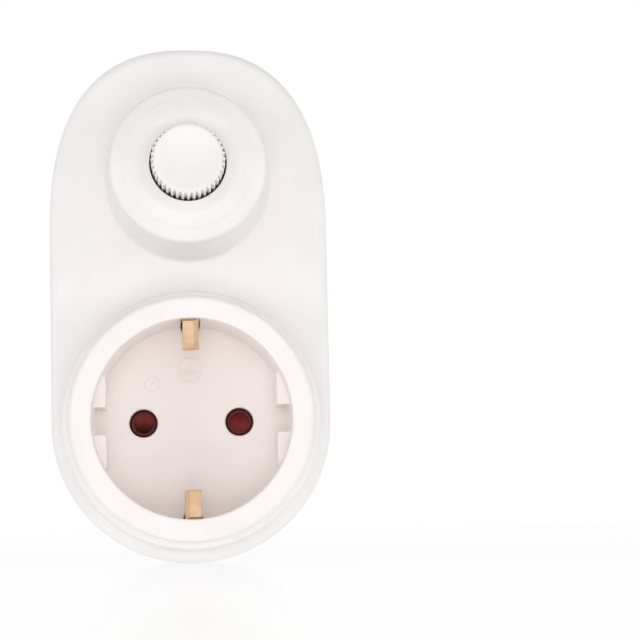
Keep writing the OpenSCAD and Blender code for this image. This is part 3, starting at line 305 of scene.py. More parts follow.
# Corners (a, b, radius) to points, with each corner rounded and a support point close beside the rounding
def softPath(corners, steps=6, hold=0.06):
    points = []
    for i, (a, b, radius) in enumerate(corners):
        at = Vector((a, b))
        if not radius or i in (0, len(corners) - 1):
            points.append(at)
            continue
        before = Vector(corners[i - 1][:2]) - at
        after = Vector(corners[i + 1][:2]) - at
        half = before.angle(after) / 2
        most = 0.48 * min(before.length, after.length)  # leaves room for the rounding at the other end
        cut = min(radius / math.tan(half), most)
        radius = cut * math.tan(half)
        before.normalize()
        after.normalize()
        centre = at + (before + after).normalized() * (radius / math.sin(half))
        start, end = at + before * cut - centre, at + after * cut - centre
        sweep = math.atan2(start.x * end.y - start.y * end.x, start.dot(end))
        if hold:
            points.append(at + before * (cut + hold))
        for k in range(steps + 1):
            turn = sweep * k / steps
            points.append(centre + Vector((start.x * math.cos(turn) - start.y * math.sin(turn),
                                           start.x * math.sin(turn) + start.y * math.cos(turn))))
        if hold:
            points.append(at + after * (cut + hold))
    return points


def arcPoints(centre, radius, start, end, steps):
    turns = [math.radians(start + (end - start) * k / steps) for k in range(steps + 1)]
    return [Vector((centre[0] + radius * math.cos(t), centre[1] + radius * math.sin(t))) for t in turns]


def circle(centre, radius, sides=64):
    return arcPoints(centre, radius, 0, 360 - 360 / sides, sides - 1)


def ring(bm, points, z):
    return [bm.verts.new((p[0], p[1], z)) for p in points]


def skin(bm, low, high):  # quads between two rings of equal count
    for i in range(len(low)):
        k = (i + 1) % len(low)
        bm.faces.new((low[i], low[k], high[k], high[i]))


def skinAll(bm, rings):
    for low, high in zip(rings, rings[1:]):
        skin(bm, low, high)
    return rings


def solidSkin(bm, rings):  # a skin with both ends closed
    skinAll(bm, rings)
    bm.faces.new(rings[0])
    bm.faces.new(rings[-1])


def fillFlat(bm, *loops):  # a flat face whose first loop is its border, the others its holes
    edges = []
    for loop in loops:
        for a, b in zip(loop, loop[1:] + loop[:1]):
            edges.append(bm.edges.get((a, b)) or bm.edges.new((a, b)))
    bmesh.ops.triangle_fill(bm, use_beauty=True, edges=edges, normal=(0, 0, 1))


def turned(bm, profile, centre=(0, 0), sides=128, closed=False):  # profile of radius and z, spun about z
    rings = []
    for radius, z in profile:
        if radius < 1e-6:  # on the axis
            rings.append([bm.verts.new((centre[0], centre[1], z))])
        else:
            rings.append(ring(bm, circle(centre, radius, sides), z))
    pairs = list(zip(rings, rings[1:])) + ([(rings[-1], rings[0])] if closed else [])
    for low, high in pairs:
        if len(low) == 1 or len(high) == 1:
            pole, loop = (low[0], high) if len(low) == 1 else (high[0], low)
            for i in range(len(loop)):
                bm.faces.new((pole, loop[i], loop[(i + 1) % len(loop)]))
        else:
            skin(bm, low, high)
    return rings


def faceOutwards(bm):  # each closed shell by the sign of its volume
    bmesh.ops.recalc_face_normals(bm, faces=bm.faces)
    left = set(bm.faces)
    while left:
        shell, edge = set(), [left.pop()]
        while edge:
            face = edge.pop()
            shell.add(face)
            near = set(other for e in face.edges for other in e.link_faces) & left
            left -= near
            edge += near
        volume = sum(f.normal.dot(f.calc_center_median()) * f.calc_area() for f in shell)
        if volume < 0:
            bmesh.ops.reverse_faces(bm, faces=list(shell))


def meshFrom(bm, name):
    mesh = bpy.data.meshes.new(name)
    bm.to_mesh(mesh)
    bm.free()
    return mesh


def addObject(name, data):
    made = bpy.data.objects.new(name, data)
    bpy.context.scene.collection.objects.link(made)
    return made


weld = {"gap": 0.0006, "shortEdge": 0.0004}  # points closer than this become one


def makePiece(name, bm, body, slot, node, sharp=34):
    bmesh.ops.remove_doubles(bm, verts=bm.verts, dist=weld["gap"])
    bmesh.ops.dissolve_degenerate(bm, edges=bm.edges, dist=weld["shortEdge"])
    faceOutwards(bm)
    bmesh.ops.transform(bm, matrix=frontToFrame, verts=bm.verts)
    for face in bm.faces:
        face.material_index = 0  # faces from a node tree bring their own number
    mesh = meshFrom(bm, name)
    mesh.materials.append(finishes[slot])
    mesh.shade_smooth()
    mesh.set_sharp_from_angle(angle=math.radians(sharp))
    piece = addObject(name, mesh)
    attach(piece, body)
    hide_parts(node)
    print("piece:", name, len(mesh.polygons), "faces")
    return piece


# Case: half circle below, straight sides and a squarish crown, and the levels of its two covers
case = {"halfWidth": 27.75, "bowlSteps": 90,
        "crownY": 37.6, "crownHeight": 38, "crownPower": 2.5, "crownSteps": 120,
        "rearZ": 17, "innerRear": 19, "seamZ": 24, "innerFront": 33, "faceZ": 35, "wall": 2,
        "frontRound": 2.5, "rearRound": 1.5, "flatInset": 1, "seamRound": 0.22, "seamInner": 0.1,
        "lipInset": 2.15, "lipWall": 1.1, "lipTop": 26, "lipOuter": 0.3, "lipInner": 0.15,
        "screws": [(14.5, 65), (16.35, -16.81)],
        "postRadius": 2.6, "postBore": 1.44, "postLow": 21, "postSunk": 1}


def caseOutline(inset):
    half, rise = case["halfWidth"] - inset, case["crownHeight"] - inset
    points = arcPoints((0, 0), half, 180, 360, case["bowlSteps"])
    power = 2 / case["crownPower"]
    for k in range(case["crownSteps"] + 1):
        t = math.pi * k / case["crownSteps"]
        c, s = math.cos(t), math.sin(t)
        x = math.copysign(half * abs(c) ** power, c)
        points.append(Vector((x, case["crownY"] + rise * abs(s) ** power)))
    return points


def screwSpots():
    return [(side * x, y) for side in (-1, 1) for x, y in case["screws"]]


# Front cover with the socket collar and the knob turret
collar = {"bore": 23.5, "boreRound": 0.12, "base": 25.3, "top": 24.9, "ledgeZ": 48, "round": 0.9,
          "foot": 0.6, "footSink": 0.1, "holeInFace": 24.4}
turret = {"y": 49, "base": 16.5, "foot": 0.7, "rim": 15.2, "rimZ": 52.6, "round": 1.1, "rimTurn": 66,
          "crest": 12.6, "crestZ": 53.5, "step": 0.2, "stepFoot": 0.08, "stepRound": 0.1,
          "dish": 10.3, "dishEdgeZ": 54.4, "dishZ": 54, "soft": 4, "hole": 7.42, "holeRound": 0.15,
          "inner": 13, "innerRound": 0.5, "roofZ": 50.4, "roofRound": 0.1, "holeInFace": 14.6}


def buildFrontCover():
    bm = bmesh.new()
    k, c, t = case, collar, turret
    wall = softPath([(k["wall"], k["innerFront"], 0), (k["wall"], k["seamZ"], k["seamInner"]),
                     (0, k["seamZ"], k["seamRound"]), (0, k["faceZ"], k["frontRound"]),
                     (k["frontRound"] + k["flatInset"], k["faceZ"], 0)], steps=8)
    rings = skinAll(bm, [ring(bm, caseOutline(inset), z) for inset, z in wall])
    holes = [((0, 0), c["holeInFace"], 160), ((0, t["y"]), t["holeInFace"], 128)]
    front = [ring(bm, circle(at, r, sides), k["faceZ"]) for at, r, sides in holes]
    back = [ring(bm, circle(at, r, sides), k["innerFront"]) for at, r, sides in holes]
    for a, b in zip(front, back):
        skin(bm, a, b)
    fillFlat(bm, rings[-1], *front)
    fillFlat(bm, rings[0], *back)

    foot = arcPoints((c["base"] + c["foot"], k["faceZ"] + c["foot"] - c["footSink"]), c["foot"], 270, 180, 6)
    edge = softPath([(foot[-1].x, foot[-1].y, 0), (c["top"], c["ledgeZ"], c["round"]),
                     (c["bore"], c["ledgeZ"], c["boreRound"]), (c["bore"], k["innerFront"], 0)], steps=8)
    turned(bm, [(c["base"] + c["foot"], k["innerFront"])] + foot + edge[1:], sides=224, closed=True)

    foot = arcPoints((t["base"] + t["foot"], k["faceZ"] + t["foot"]), t["foot"], 270, 180, 6)
    rim = arcPoints((t["rim"] - t["round"], t["rimZ"] - t["round"]), t["round"], 0, t["rimTurn"], 8)
    top = softPath([(rim[-1].x, rim[-1].y, 0), (t["crest"], t["crestZ"] - t["step"], t["stepFoot"]),
                    (t["crest"], t["crestZ"], t["stepRound"]), (t["dish"], t["dishEdgeZ"], t["soft"]),
                    (t["hole"], t["dishZ"], t["holeRound"]), (t["hole"], t["roofZ"], t["roofRound"]),
                    (t["inner"], t["roofZ"], t["innerRound"]), (t["inner"], k["innerFront"], 0)], hold=0.04)
    turned(bm, [(t["base"] + t["foot"], k["innerFront"])] + foot + rim + top[1:], (0, t["y"]), 192, True)

    postTop = k["faceZ"] - k["postSunk"]
    for spot in screwSpots():
        turned(bm, [(k["postBore"], k["postLow"]), (k["postRadius"], k["postLow"]),
                    (k["postRadius"], postTop), (k["postBore"], postTop)], spot, 32, True)
    makePiece("front_cover_shell", bm, "case", "case_white", "front_cover")


# Rear cover with the plug body, and a well for each case screw
plug = {"radius": 18.4, "flatX": 16.2, "ridgeHalf": 2.3, "ridgeTaper": 0.3,
        "ridgeFoot": [(0.12, 0), (0.03, 0.04), (0, 0.14)],
        "faceRound": 0.7, "faceInset": 2.5, "faceThick": 2.2, "topZ": 18.2, "hollow": 14.8,
        "slotHalf": 3.3, "slotY": 17.35, "slotTaper": 0.5, "slotStep": 0.06, "slotEdge": (0.02, 0.2),
        "slotCorner": [(0.02, 0.08), (0.08, 0)], "holeInFace": 15.4,
        "pinX": 9.5, "pinHole": 2.74, "pinMouth": 3.2, "pinBevel": 0.18,
        "guide": 4.2, "guideTop": 7.5, "guideInner": 0.1, "guideOuter": 0.2}
well = {"mouth": 2.75, "mouthRound": 0.04, "radius": 2.7, "floorZ": 18.9, "floorRound": 0.1,
        "bore": 1.6, "bossLow": 18.95}


def plugOutline(inset, slotted):  # a quarter and its mirror images, one count of points for both forms
    p = plug
    r, flat, ridge = p["radius"] - inset, p["flatX"] - inset, p["ridgeHalf"] - inset * p["ridgeTaper"]
    lip = math.degrees(math.acos(p["slotHalf"] / r))
    quarter = arcPoints((0, 0), r, 0, math.degrees(math.asin(ridge / r)), 8)
    quarter += [Vector((flat + x, ridge + y)) for x, y in p["ridgeFoot"]]
    quarter += arcPoints((0, 0), r, math.degrees(math.acos(flat / r)), lip, 40)
    side, depth = quarter[-1], p["slotY"] - inset * p["slotTaper"]
    if slotted:
        quarter += [Vector((side.x - x, depth + y)) for x, y in p["slotCorner"]]
        quarter += [Vector((side.x * (1 - k / 8), depth)) for k in range(1, 8)]
    else:
        start, end = p["slotEdge"]
        step = (90 - lip) / 8
        quarter += arcPoints((0, 0), r, lip + start, lip + end, 1)
        quarter += arcPoints((0, 0), r, lip + step, 90 - step, 6)
    top = [Vector((0, depth if slotted else r))]
    half = quarter + top + [Vector((-v.x, v.y)) for v in reversed(quarter)]
    return half + [Vector((v.x, -v.y)) for v in reversed(half[1:-1])]


def buildRearCover():
    bm = bmesh.new()
    k, p, w = case, plug, well
    lipIn = k["lipInset"] + k["lipWall"]
    wall = softPath([(lipIn, k["innerRear"], 0), (lipIn, k["lipTop"], k["lipInner"]),
                     (k["lipInset"], k["lipTop"], k["lipOuter"]), (k["lipInset"], k["seamZ"], 0),
                     (0, k["seamZ"], k["seamRound"]), (0, k["rearZ"], k["rearRound"]),
                     (k["rearRound"] + k["flatInset"], k["rearZ"], 0)], steps=8, hold=0.02)
    rings = skinAll(bm, [ring(bm, caseOutline(inset), z) for inset, z in wall[:-1]])
    outside = [ring(bm, circle((0, 0), p["holeInFace"], 128), k["rearZ"])]
    inside = [ring(bm, circle((0, 0), p["holeInFace"], 128), k["innerRear"])]
    skin(bm, outside[0], inside[0])
    bore = softPath([(w["mouth"], k["rearZ"], 0), (w["radius"], k["rearZ"], w["mouthRound"]),
                     (w["radius"], w["floorZ"], w["floorRound"]), (0, w["floorZ"], 0)], steps=4, hold=0.005)
    boss = [(w["bore"], w["bossLow"]), (w["bore"], k["postLow"]),
            (k["postRadius"], k["postLow"]), (k["postRadius"], w["bossLow"])]
    for spot in screwSpots():
        outside.append(turned(bm, bore, spot, 64)[0])
        turned(bm, boss, spot, 48, True)
    fillFlat(bm, rings[-1], *outside)
    fillFlat(bm, rings[0], *inside)

    edge = softPath([(p["faceInset"], 0, 0), (0, 0, p["faceRound"]), (0, p["faceThick"], 0)])
    slotLevels = (p["faceThick"], p["faceThick"] + p["slotStep"], p["topZ"])
    sides = [ring(bm, plugOutline(inset, False), z) for inset, z in edge]
    sides += [ring(bm, plugOutline(0, True), z) for z in slotLevels]
    skinAll(bm, sides)
    guideShape = softPath([(p["pinMouth"], 0, 0), (p["pinHole"], 0, p["pinBevel"]),
                           (p["pinHole"], p["guideTop"], p["guideInner"]),
                           (p["guide"], p["guideTop"], p["guideOuter"]),
                           (p["guide"], p["faceThick"], 0)], steps=4, hold=0.03)
    guides = [turned(bm, guideShape, (x, 0), 64) for x in (-p["pinX"], p["pinX"])]
    hollow = turned(bm, [(p["hollow"], p["faceThick"]), (p["hollow"], p["topZ"])])
    fillFlat(bm, sides[0], *[guide[0] for guide in guides])
    fillFlat(bm, hollow[0], *[guide[-1] for guide in guides])
    fillFlat(bm, sides[-1], hollow[1])
    makePiece("rear_cover_shell", bm, "case", "case_white", "rear_cover")


buildFrontCover()
buildRearCover()


# Socket insert: recess, guide lugs, earth slots, pin holes, ring
socket = {"mouth": 19.2, "mouthZ": 53, "mouthRound": 0.4, "floor": 18.95, "floorZ": 35.5, "backZ": 33.5,
          "ring": 23.5, "ringRound": 0.9, "ringBack": 50.6, "backRound": 0.2, "cup": 20.7, "skirt": 21.9,
          "flange": 24.5, "flangeTop": 32.9, "flangeLow": 31, "flangeRound": 0.1,
          "lugX": 16.5, "lugLow": 2.65, "lugHigh": 9.0, "lugTop": 47, "lugRound": 0.4,
          "lugLowRound": 0.35, "lugHighRound": 0.25, "lugPlain": (0.9, 0.7), "lugTail": (0.2, 0.1),
          "slotHalf": 1.9, "slotSide": 19.2, "slotBack": 20.0, "slotFloor": 17.6, "slotTaper": 0.83,
          "slotTop": 51.8, "slotLip": 0.05, "pinX": 9.5, "pinHole": 2.8, "pinRim": 0.7, "bevel": 0.3,
          "pivot": 2, "pivotLow": 30.1, "hold": 0.1, "thinHold": 0.08,
          "past": 9}  # further back than any lug or slot reaches


# Stations of the recess outline: a way round the circle in which lugs and slots keep their own points
def recessStations():
    s = socket
    low = math.asin(s["lugLow"] / s["floor"])
    high = math.atan2(s["lugHigh"], s["lugX"])
    slotAt = math.acos(s["slotHalf"] / s["floor"])
    plain = (s["lugLow"] + s["lugPlain"][0], s["lugHigh"] - s["lugPlain"][1])
    along = [(s["lugX"], plain[0] + (plain[1] - plain[0]) * k / 10, 0) for k in range(11)]
    tail = (s["floor"] * math.cos(high) + s["lugTail"][0], s["floor"] * math.sin(high) + s["lugTail"][1], 0)
    start = [(s["floor"] * math.cos(low), s["lugLow"], 0), (s["lugX"], s["lugLow"], s["lugLowRound"])]
    end = [(s["lugX"], s["lugHigh"], s["lugHighRound"]), tail]
    corner = softPath(start + along + end, steps=4)
    quarter = [("arc", low * k / 6) for k in range(7)]
    quarter += [("lug", p) for p in corner[1:-1]]
    quarter += [("arc", high + (slotAt - high) * k / 36) for k in range(37)]
    quarter += [("slot", Vector((s["slotHalf"], y))) for y in (s["slotSide"], s["slotBack"] - s["hold"])]
    quarter += [("slot", Vector((s["slotHalf"] * share, s["slotBack"]))) for share in (0.95, 0.6, 0.3)]
    top = [("slot", Vector((0, s["slotBack"])))]

    def mirrored(station, sx, sy):
        kind, at = station
        if kind == "arc":
            return kind, (at if sx > 0 else math.pi - at) * sy
        return kind, Vector((at.x * sx, at.y * sy))
    half = quarter + top + [mirrored(p, -1, 1) for p in reversed(quarter)]
    return half + [mirrored(p, 1, -1) for p in reversed(half[1:-1])]


def recessOutline(stations, radius, lugBack, slotBack):  # how far lugs and slots are drawn back to the circle
    points = []
    for kind, at in stations:
        if kind == "arc":
            points.append(Vector((radius * math.cos(at), radius * math.sin(at))))
        elif lugBack >= socket["past"] and slotBack >= socket["past"]:
            points.append(at.normalized() * radius)
        else:
            away = at.length - radius
            move = -min(lugBack, max(-away, 0)) if kind == "lug" else min(slotBack, max(away, 0))
            points.append(at.normalized() * (at.length - move))
    return points


def buildSocketInsert():
    s = socket
    bm = bmesh.new()
    stations = recessStations()

    def wallRadius(z):
        return s["floor"] + (s["mouth"] - s["floor"]) * (z - s["floorZ"]) / (s["mouthZ"] - s["floorZ"])
    past, thin = s["past"], s["thinHold"]
    levels = [(s["floorZ"], 0, 0), (s["floorZ"] + s["hold"], 0, 0)]
    for turn in range(0, 91, 18):
        a = math.radians(turn)
        levels.append((s["lugTop"] - s["lugRound"] * (1 - math.sin(a)), s["lugRound"] * (1 - math.cos(a)), 0))
    levels += [(s["lugTop"], s["lugRound"] + s["hold"], 0), (s["lugTop"], past, 0),
               (s["lugTop"] + thin, past, 0), (s["slotTop"] - thin, past, 0),
               (s["slotTop"], past, thin), (s["slotTop"], past, past)]
    rings = [ring(bm, recessOutline(stations, wallRadius(z), lugBack, slotBack), z)
             for z, lugBack, slotBack in levels]
    edge, back = s["flangeRound"], s["backRound"]
    shape = softPath([(wallRadius(s["slotTop"]), s["slotTop"] + s["slotLip"], 0),
                      (s["mouth"], s["mouthZ"], s["mouthRound"]), (s["ring"], s["mouthZ"], s["ringRound"]),
                      (s["ring"], s["flangeTop"], 0), (s["flange"], s["flangeTop"], edge),
                      (s["flange"], s["flangeLow"], edge), (s["skirt"], s["flangeLow"], edge),
                      (s["skirt"], s["ringBack"], back), (s["cup"], s["ringBack"], back),
                      (s["cup"], s["backZ"], 0)], steps=7)
    rings += [ring(bm, recessOutline(stations, radius, past, past), z) for radius, z in shape]
    skinAll(bm, rings)

    floorRing = rings[0]
    border, wells = list(floorRing), []
    for side in (1, -1):
        spot = [i for i, (kind, at) in enumerate(stations) if kind == "slot" and at.y * side > 0]
        run = [spot[0] - 1] + spot + [spot[-1] + 1]
        ends = floorRing[run[0]].co.x, floorRing[run[-1]].co.x
        inner = [bm.verts.new((x * s["slotTaper"], side * s["slotFloor"], s["floorZ"])) for x in ends]
        loop = [floorRing[i] for i in run] + [inner[1], inner[0]]
        low = ring(bm, [v.co for v in loop], s["backZ"])
        skin(bm, loop, low)
        wells.append(low)
        inSlot = set(floorRing[i] for i in spot)
        at = border.index(floorRing[run[0]]) + 1
        border = [v for v in border if v not in inSlot]
        border[at:at] = inner
    pinShape = softPath([(s["pinHole"] + s["pinRim"], s["floorZ"], 0),
                         (s["pinHole"], s["floorZ"], s["bevel"]), (s["pinHole"], s["backZ"], 0)],
                        steps=5, hold=0.04)
    holes = [turned(bm, pinShape, (x, 0), 72) for x in (-s["pinX"], s["pinX"])]
    pivot = turned(bm, [(s["pivot"], s["backZ"]), (s["pivot"], s["pivotLow"]), (0, s["pivotLow"])], sides=48)
    fillFlat(bm, border, *[hole[0] for hole in holes])
    fillFlat(bm, rings[-1], *wells, *[hole[-1] for hole in holes], pivot[0])
    return bm


# Generic earth sign and the gate mark, raised a little from the recess floor
signs = {"earthAt": (-0.2, 10.3), "earthRadius": 2.35, "line": 0.34, "rise": 0.3, "sunk": 0.3,
         "soft": 0.05, "bevel": 0.04, "bars": [(0, 1.75), (-0.62, 1.15), (-1.2, 0.6)], "stem": (0, 1.75),
         "gateAt": (-7.6, 7.7),
         "gate": [(0, 0.12, 0), (0.3, 0.12, 0.05), (0.5, 0.02, 0.1), (1.15, 0.03, 0.1), (1.45, 0.1, 0.08),
                  (1.6, -0.2, 0), (0, -0.2, 0)]}  # radius, height and rounding of its section


def raisedBar(bm, x0, x1, y0, y1, low, high):
    levels = [(0, low), (0, high - signs["bevel"]), (signs["soft"], high)]
    rings = [ring(bm, [(x0 + i, y0 + i), (x1 - i, y0 + i), (x1 - i, y1 - i), (x0 + i, y1 - i)], z)
             for i, z in levels]
    solidSkin(bm, rings)


def addSigns(bm):
    g, floorZ = signs, socket["floorZ"]
    low, high, half = floorZ - g["sunk"], floorZ + g["rise"], g["line"] / 2
    cx, cy = g["earthAt"]
    inner, outer, soft = g["earthRadius"] - half, g["earthRadius"] + half, g["soft"]
    hoop = [(inner, low, 0), (inner, high, soft), (outer, high, soft), (outer, low, 0)]
    turned(bm, softPath(hoop, steps=3, hold=0), (cx, cy), 64, True)
    for y, length in g["bars"]:
        raisedBar(bm, cx - length, cx + length, cy + y - half, cy + y + half, low, high)
    raisedBar(bm, cx - half, cx + half, cy + g["stem"][0], cy + g["stem"][1], low, high)
    gate = [(radius, floorZ + height, rounding) for radius, height, rounding in g["gate"]]
    turned(bm, softPath(gate, hold=0), g["gateAt"], 48)


insertMesh = buildSocketInsert()
addSigns(insertMesh)
makePiece("socket_insert_shell", insertMesh, "case", "insert_white", "socket_insert")


# Bent sheet strip: a rounded section swept along a y, z path, its width along x
strip = {"marks": [0.32, 0.38, 0.44, 0.75, 0.95, 1], "foldAt": 0.38, "edge": 0.25, "flat": 0.5,
         "endThin": 0.9, "endNarrow": 0.97, "sharp": 28}


def stripSection(half, thick, fold, side):  # past a fold line the sheet leans back on one side
    marks = [-u for u in reversed(strip["marks"])] + [0] + strip["marks"]
    front, back = [], []
    for u in marks:
        lean = fold * max(0, u * side - strip["foldAt"])
        reach = thick * (strip["edge"] if abs(u) == 1 else strip["flat"])
        front.append((u * half, lean + reach))
        back.append((u * half, lean - reach))
    return front + back[::-1]


def sweptStrip(bm, path, half, thick, folds):
    rings = []
    last = len(path) - 1
    for i, at in enumerate(path):
        along = (path[min(i + 1, last)] - path[max(i - 1, 0)]).normalized()
        out = Vector((-along.y, along.x))
        thin, narrow = (strip["endThin"], strip["endNarrow"]) if i in (0, last) else (1, 1)
        section = stripSection(half * narrow, thick, *folds[i])
        out *= thin
        rings.append([bm.verts.new((x, at.x + out.x * d, at.y + out.y * d)) for x, d in section])
    solidSkin(bm, rings)


def bowPath(corners):  # the other half is the mirror image
    return softPath(corners + [(-y, z, r) for y, z, r in reversed(corners)], steps=8, hold=0.3)


# Earth bow of the socket, whose ends are the two clips in the recess, and the plug's bow behind it
clips = {"end": (18.9, 51.2), "bulge": (13.5, 46.5), "bulgeRound": 1.0, "back": (18.25, 38), "backRound": 1.6,
         "cross": (18.25, 19.55), "crossRound": 1.0, "half": 1.6, "thick": 0.62,
         "fold": 1.7, "foldEnds": (45.9, 47.6)}
plugStrip = {"end": (17.85, 3.2), "cross": (17.85, 18.75), "crossRound": 1.0, "half": 3.0, "thick": 0.66}


def buildEarthBows():
    c, p = clips, plugStrip
    path = bowPath([(*c["end"], 0), (*c["bulge"], c["bulgeRound"]), (*c["back"], c["backRound"]),
                    (*c["cross"], c["crossRound"])])
    low, high = c["foldEnds"]
    folds = [(c["fold"] * min(1, max(0, (v.y - low) / (high - low))), math.copysign(1, v.x)) for v in path]
    bm = bmesh.new()
    sweptStrip(bm, path, c["half"], c["thick"], folds)
    makePiece("socket_earth_clips", bm, "case", "contact_brass", "socket_earth_bow", strip["sharp"])

    path = bowPath([(*p["end"], 0), (*p["cross"], p["crossRound"])])
    bm = bmesh.new()
    sweptStrip(bm, path, p["half"], p["thick"], [(0, 1)] * len(path))
    makePiece("plug_earth_strips", bm, "case", "contact_brass", "plug_earth_bow", strip["sharp"])


buildEarthBows()


# Shutter disc with its two windows, and a boss with a sloping pocket behind each pin hole
shutter = {"radius": 14.3, "lowZ": 31.3, "topZ": 32.5, "rimRound": 0.3, "flatInset": 1,
           "pivotHole": 2.04, "window": 3.05, "holeRound": 0.15, "holeRim": 0.3, "turn": -38,
           "boss": 2.45, "bossZ": 33.3, "bossRound": 0.12, "bossFoot": 0.15, "footRound": 0.08,
           "pocket": 1.95, "pocketDeep": 0.95, "slope": 21,
           "pocketFloor": [(1, 0.1), (0.985, 0.03), (0.94, 0), (0.6, 0), (0.3, 0)],  # share of radius, lift
           "pinX": 9.5, "pegX": 4.6, "pegRadius": 0.9, "pegRound": 0.2, "pegLow": 28.7, "pegSunk": 1}


def shutterBoss(bm, side):
    s = shutter
    middle = (side * s["pinX"], 0)
    rise = -side * math.tan(math.radians(s["slope"]))
    wall = softPath([(s["boss"] + s["bossFoot"], s["topZ"], 0), (s["boss"], s["topZ"], s["footRound"]),
                     (s["boss"], s["bossZ"], s["bossRound"]), (s["pocket"], s["bossZ"], 0)],
                    steps=4, hold=0.02)
    rings = [ring(bm, circle(middle, r), z) for r, z in wall]
    floorZ = s["bossZ"] - s["pocketDeep"]
    for share, lift in s["pocketFloor"]:
        points = circle(middle, s["pocket"] * share)
        rings.append([bm.verts.new((p.x, p.y, floorZ + p.y * rise + lift)) for p in points])
    skinAll(bm, rings)
    bm.faces.new(rings[-1])
    return rings[0]


def buildShutter():
    s = shutter
    bm = bmesh.new()
    flat = s["radius"] - s["flatInset"]
    rim = turned(bm, softPath([(flat, s["topZ"], 0), (s["radius"], s["topZ"], s["rimRound"]),
                               (s["radius"], s["lowZ"], s["rimRound"]), (flat, s["lowZ"], 0)], steps=4))
    holes = [((0, 0), s["pivotHole"])]
    for half in (0, 180):
        turn = math.radians(s["turn"] + half)
        holes.append(((s["pinX"] * math.cos(turn), s["pinX"] * math.sin(turn)), s["window"]))
    tops, lows = [], []
    for at, r in holes:
        bore = turned(bm, softPath([(r + s["holeRim"], s["topZ"], 0), (r, s["topZ"], s["holeRound"]),
                                    (r, s["lowZ"], s["holeRound"]), (r + s["holeRim"], s["lowZ"], 0)],
                                   steps=4, hold=0.03), at, 64)
        tops.append(bore[0])
        lows.append(bore[-1])
    tops += [shutterBoss(bm, side) for side in (-1, 1)]
    fillFlat(bm, rim[0], *tops)
    fillFlat(bm, rim[-1], *lows)
    pegTop = s["lowZ"] + s["pegSunk"]
    turned(bm, softPath([(0, s["pegLow"], 0), (s["pegRadius"], s["pegLow"], s["pegRound"]),
                         (s["pegRadius"], pegTop, 0), (0, pegTop, 0)], steps=4), (s["pegX"], 0), 32)
    makePiece("shutter_disc", bm, "shutter", "shutter_red", "shutter")


buildShutter()


# Closing spring of the shutter: its far end stays in its pocket while the peg presses the near end
spring = {"x": 4.6, "z": 30, "nearY": 1.225, "farY": 7.025, "turns": 7, "perTurn": 24, "coil": 0.925,
          "wire": 0.175, "wireSides": 10, "keep": 0.53, "sharp": 40}


def buildSpring():
    s = spring
    last = s["turns"] * s["perTurn"]
    bm = bmesh.new()
    rings = []
    for i in range(last + 1):
        turn = 2 * math.pi * i / s["perTurn"]
        y = s["nearY"] + (s["farY"] - s["nearY"]) * i / last
        loop = []
        for k in range(s["wireSides"]):
            around = 2 * math.pi * k / s["wireSides"]
            reach = s["coil"] + s["wire"] * math.cos(around)
            loop.append(bm.verts.new((s["x"] + reach * math.cos(turn), y + s["wire"] * math.sin(around),
                                      s["z"] + reach * math.sin(turn))))
        rings.append(loop)
    solidSkin(bm, rings)
    piece = makePiece("shutter_spring_coil", bm, "case", "steel", "shutter_spring", s["sharp"])
    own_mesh(piece)


buildSpring()


# Geometry node tree with named inputs
def nodeTree(name, inputs):
    tree = bpy.data.node_groups.new(name, "GeometryNodeTree")
    tree.interface.new_socket("Geometry", in_out="INPUT", socket_type="NodeSocketGeometry")
    for label, kind in inputs.items():
        tree.interface.new_socket(label, in_out="INPUT", socket_type=kind)
    tree.interface.new_socket("Geometry", in_out="OUTPUT", socket_type="NodeSocketGeometry")
    entry = tree.nodes.new("NodeGroupInput")
    return tree, {out.name: Wire(tree, out) for out in entry.outputs}


# The end of a tree: a shape on every point, turned about z
def shapeOnPoints(tree, points, shape, turn, finish):
    w = Wire(tree)
    spin = w.node("ShaderNodeCombineXYZ", None, {"Z": turn})
    placed = w.node("GeometryNodeInstanceOnPoints", None,
                    {"Points": points, "Instance": shape, "Rotation": spin})
    real = w.node("GeometryNodeRealizeInstances", None, {"Geometry": placed})
    done = w.node("GeometryNodeSetMaterial", None, {"Geometry": real, "Material": finish})
    tree.links.new(done.socket, tree.nodes.new("NodeGroupOutput").inputs[0])


def treeResult(host, tree, values):  # the tree's result on a host mesh, as a plain mesh
    carrier = addObject("treeHost", host)
    modifier = carrier.modifiers.new("tree", "NODES")
    modifier.node_group = tree
    for item in tree.interface.items_tree:
        if item.item_type == "SOCKET" and item.in_out == "INPUT" and item.name in values:
            modifier[item.identifier] = values[item.name]
    graph = bpy.context.evaluated_depsgraph_get()
    result = bpy.data.meshes.new_from_object(carrier.evaluated_get(graph))
    carrier.modifiers.clear()
    bpy.data.objects.remove(carrier)
    return result


# Knob: turned body with a dished front, and ribs set round it by a node tree
knob = {"y": 49, "root": 6.54, "rootZ": 55, "nose": 6.64, "noseZ": 57.8, "neckRound": 0.5, "frontZ": 59,
        "noseRound": 0.45, "dish": 0.5, "dishRadius": 5.9, "lowZ": 43.4, "lowRound": 0.15,
        "bore": 3.04, "boreTop": 51.9, "boreRim": 1.3, "boreRound": 0.2, "sharp": 40,
        "ribCount": 40, "ribHeight": 0.58, "ribHalf": 0.33, "ribNarrow": 0.7, "ribFull": 0.7, "ribSunk": 0.4,
        "ribTop": 58.8, "ribTip": 0.6, "ribTipTurn": 84.375, "ribHold": 0.1,
        "ribFoot": 0.2, "ribFootShare": 0.8}


def ribTree():
    tree, inputs = nodeTree("ribsRoundKnob", {"Rib Count": "NodeSocketInt", "Root Radius": "NodeSocketFloat",
                                              "Finish": "NodeSocketMaterial"})
    w = Wire(tree)
    posts = w.node("GeometryNodeMeshCircle", {"fill_type": "NONE"},
                   {"Vertices": inputs["Rib Count"], "Radius": inputs["Root Radius"]})
    turn = w.node("GeometryNodeInputIndex") * (2 * math.pi) / inputs["Rib Count"]
    shapeOnPoints(tree, posts, inputs["Geometry"], turn, inputs["Finish"])
    return tree


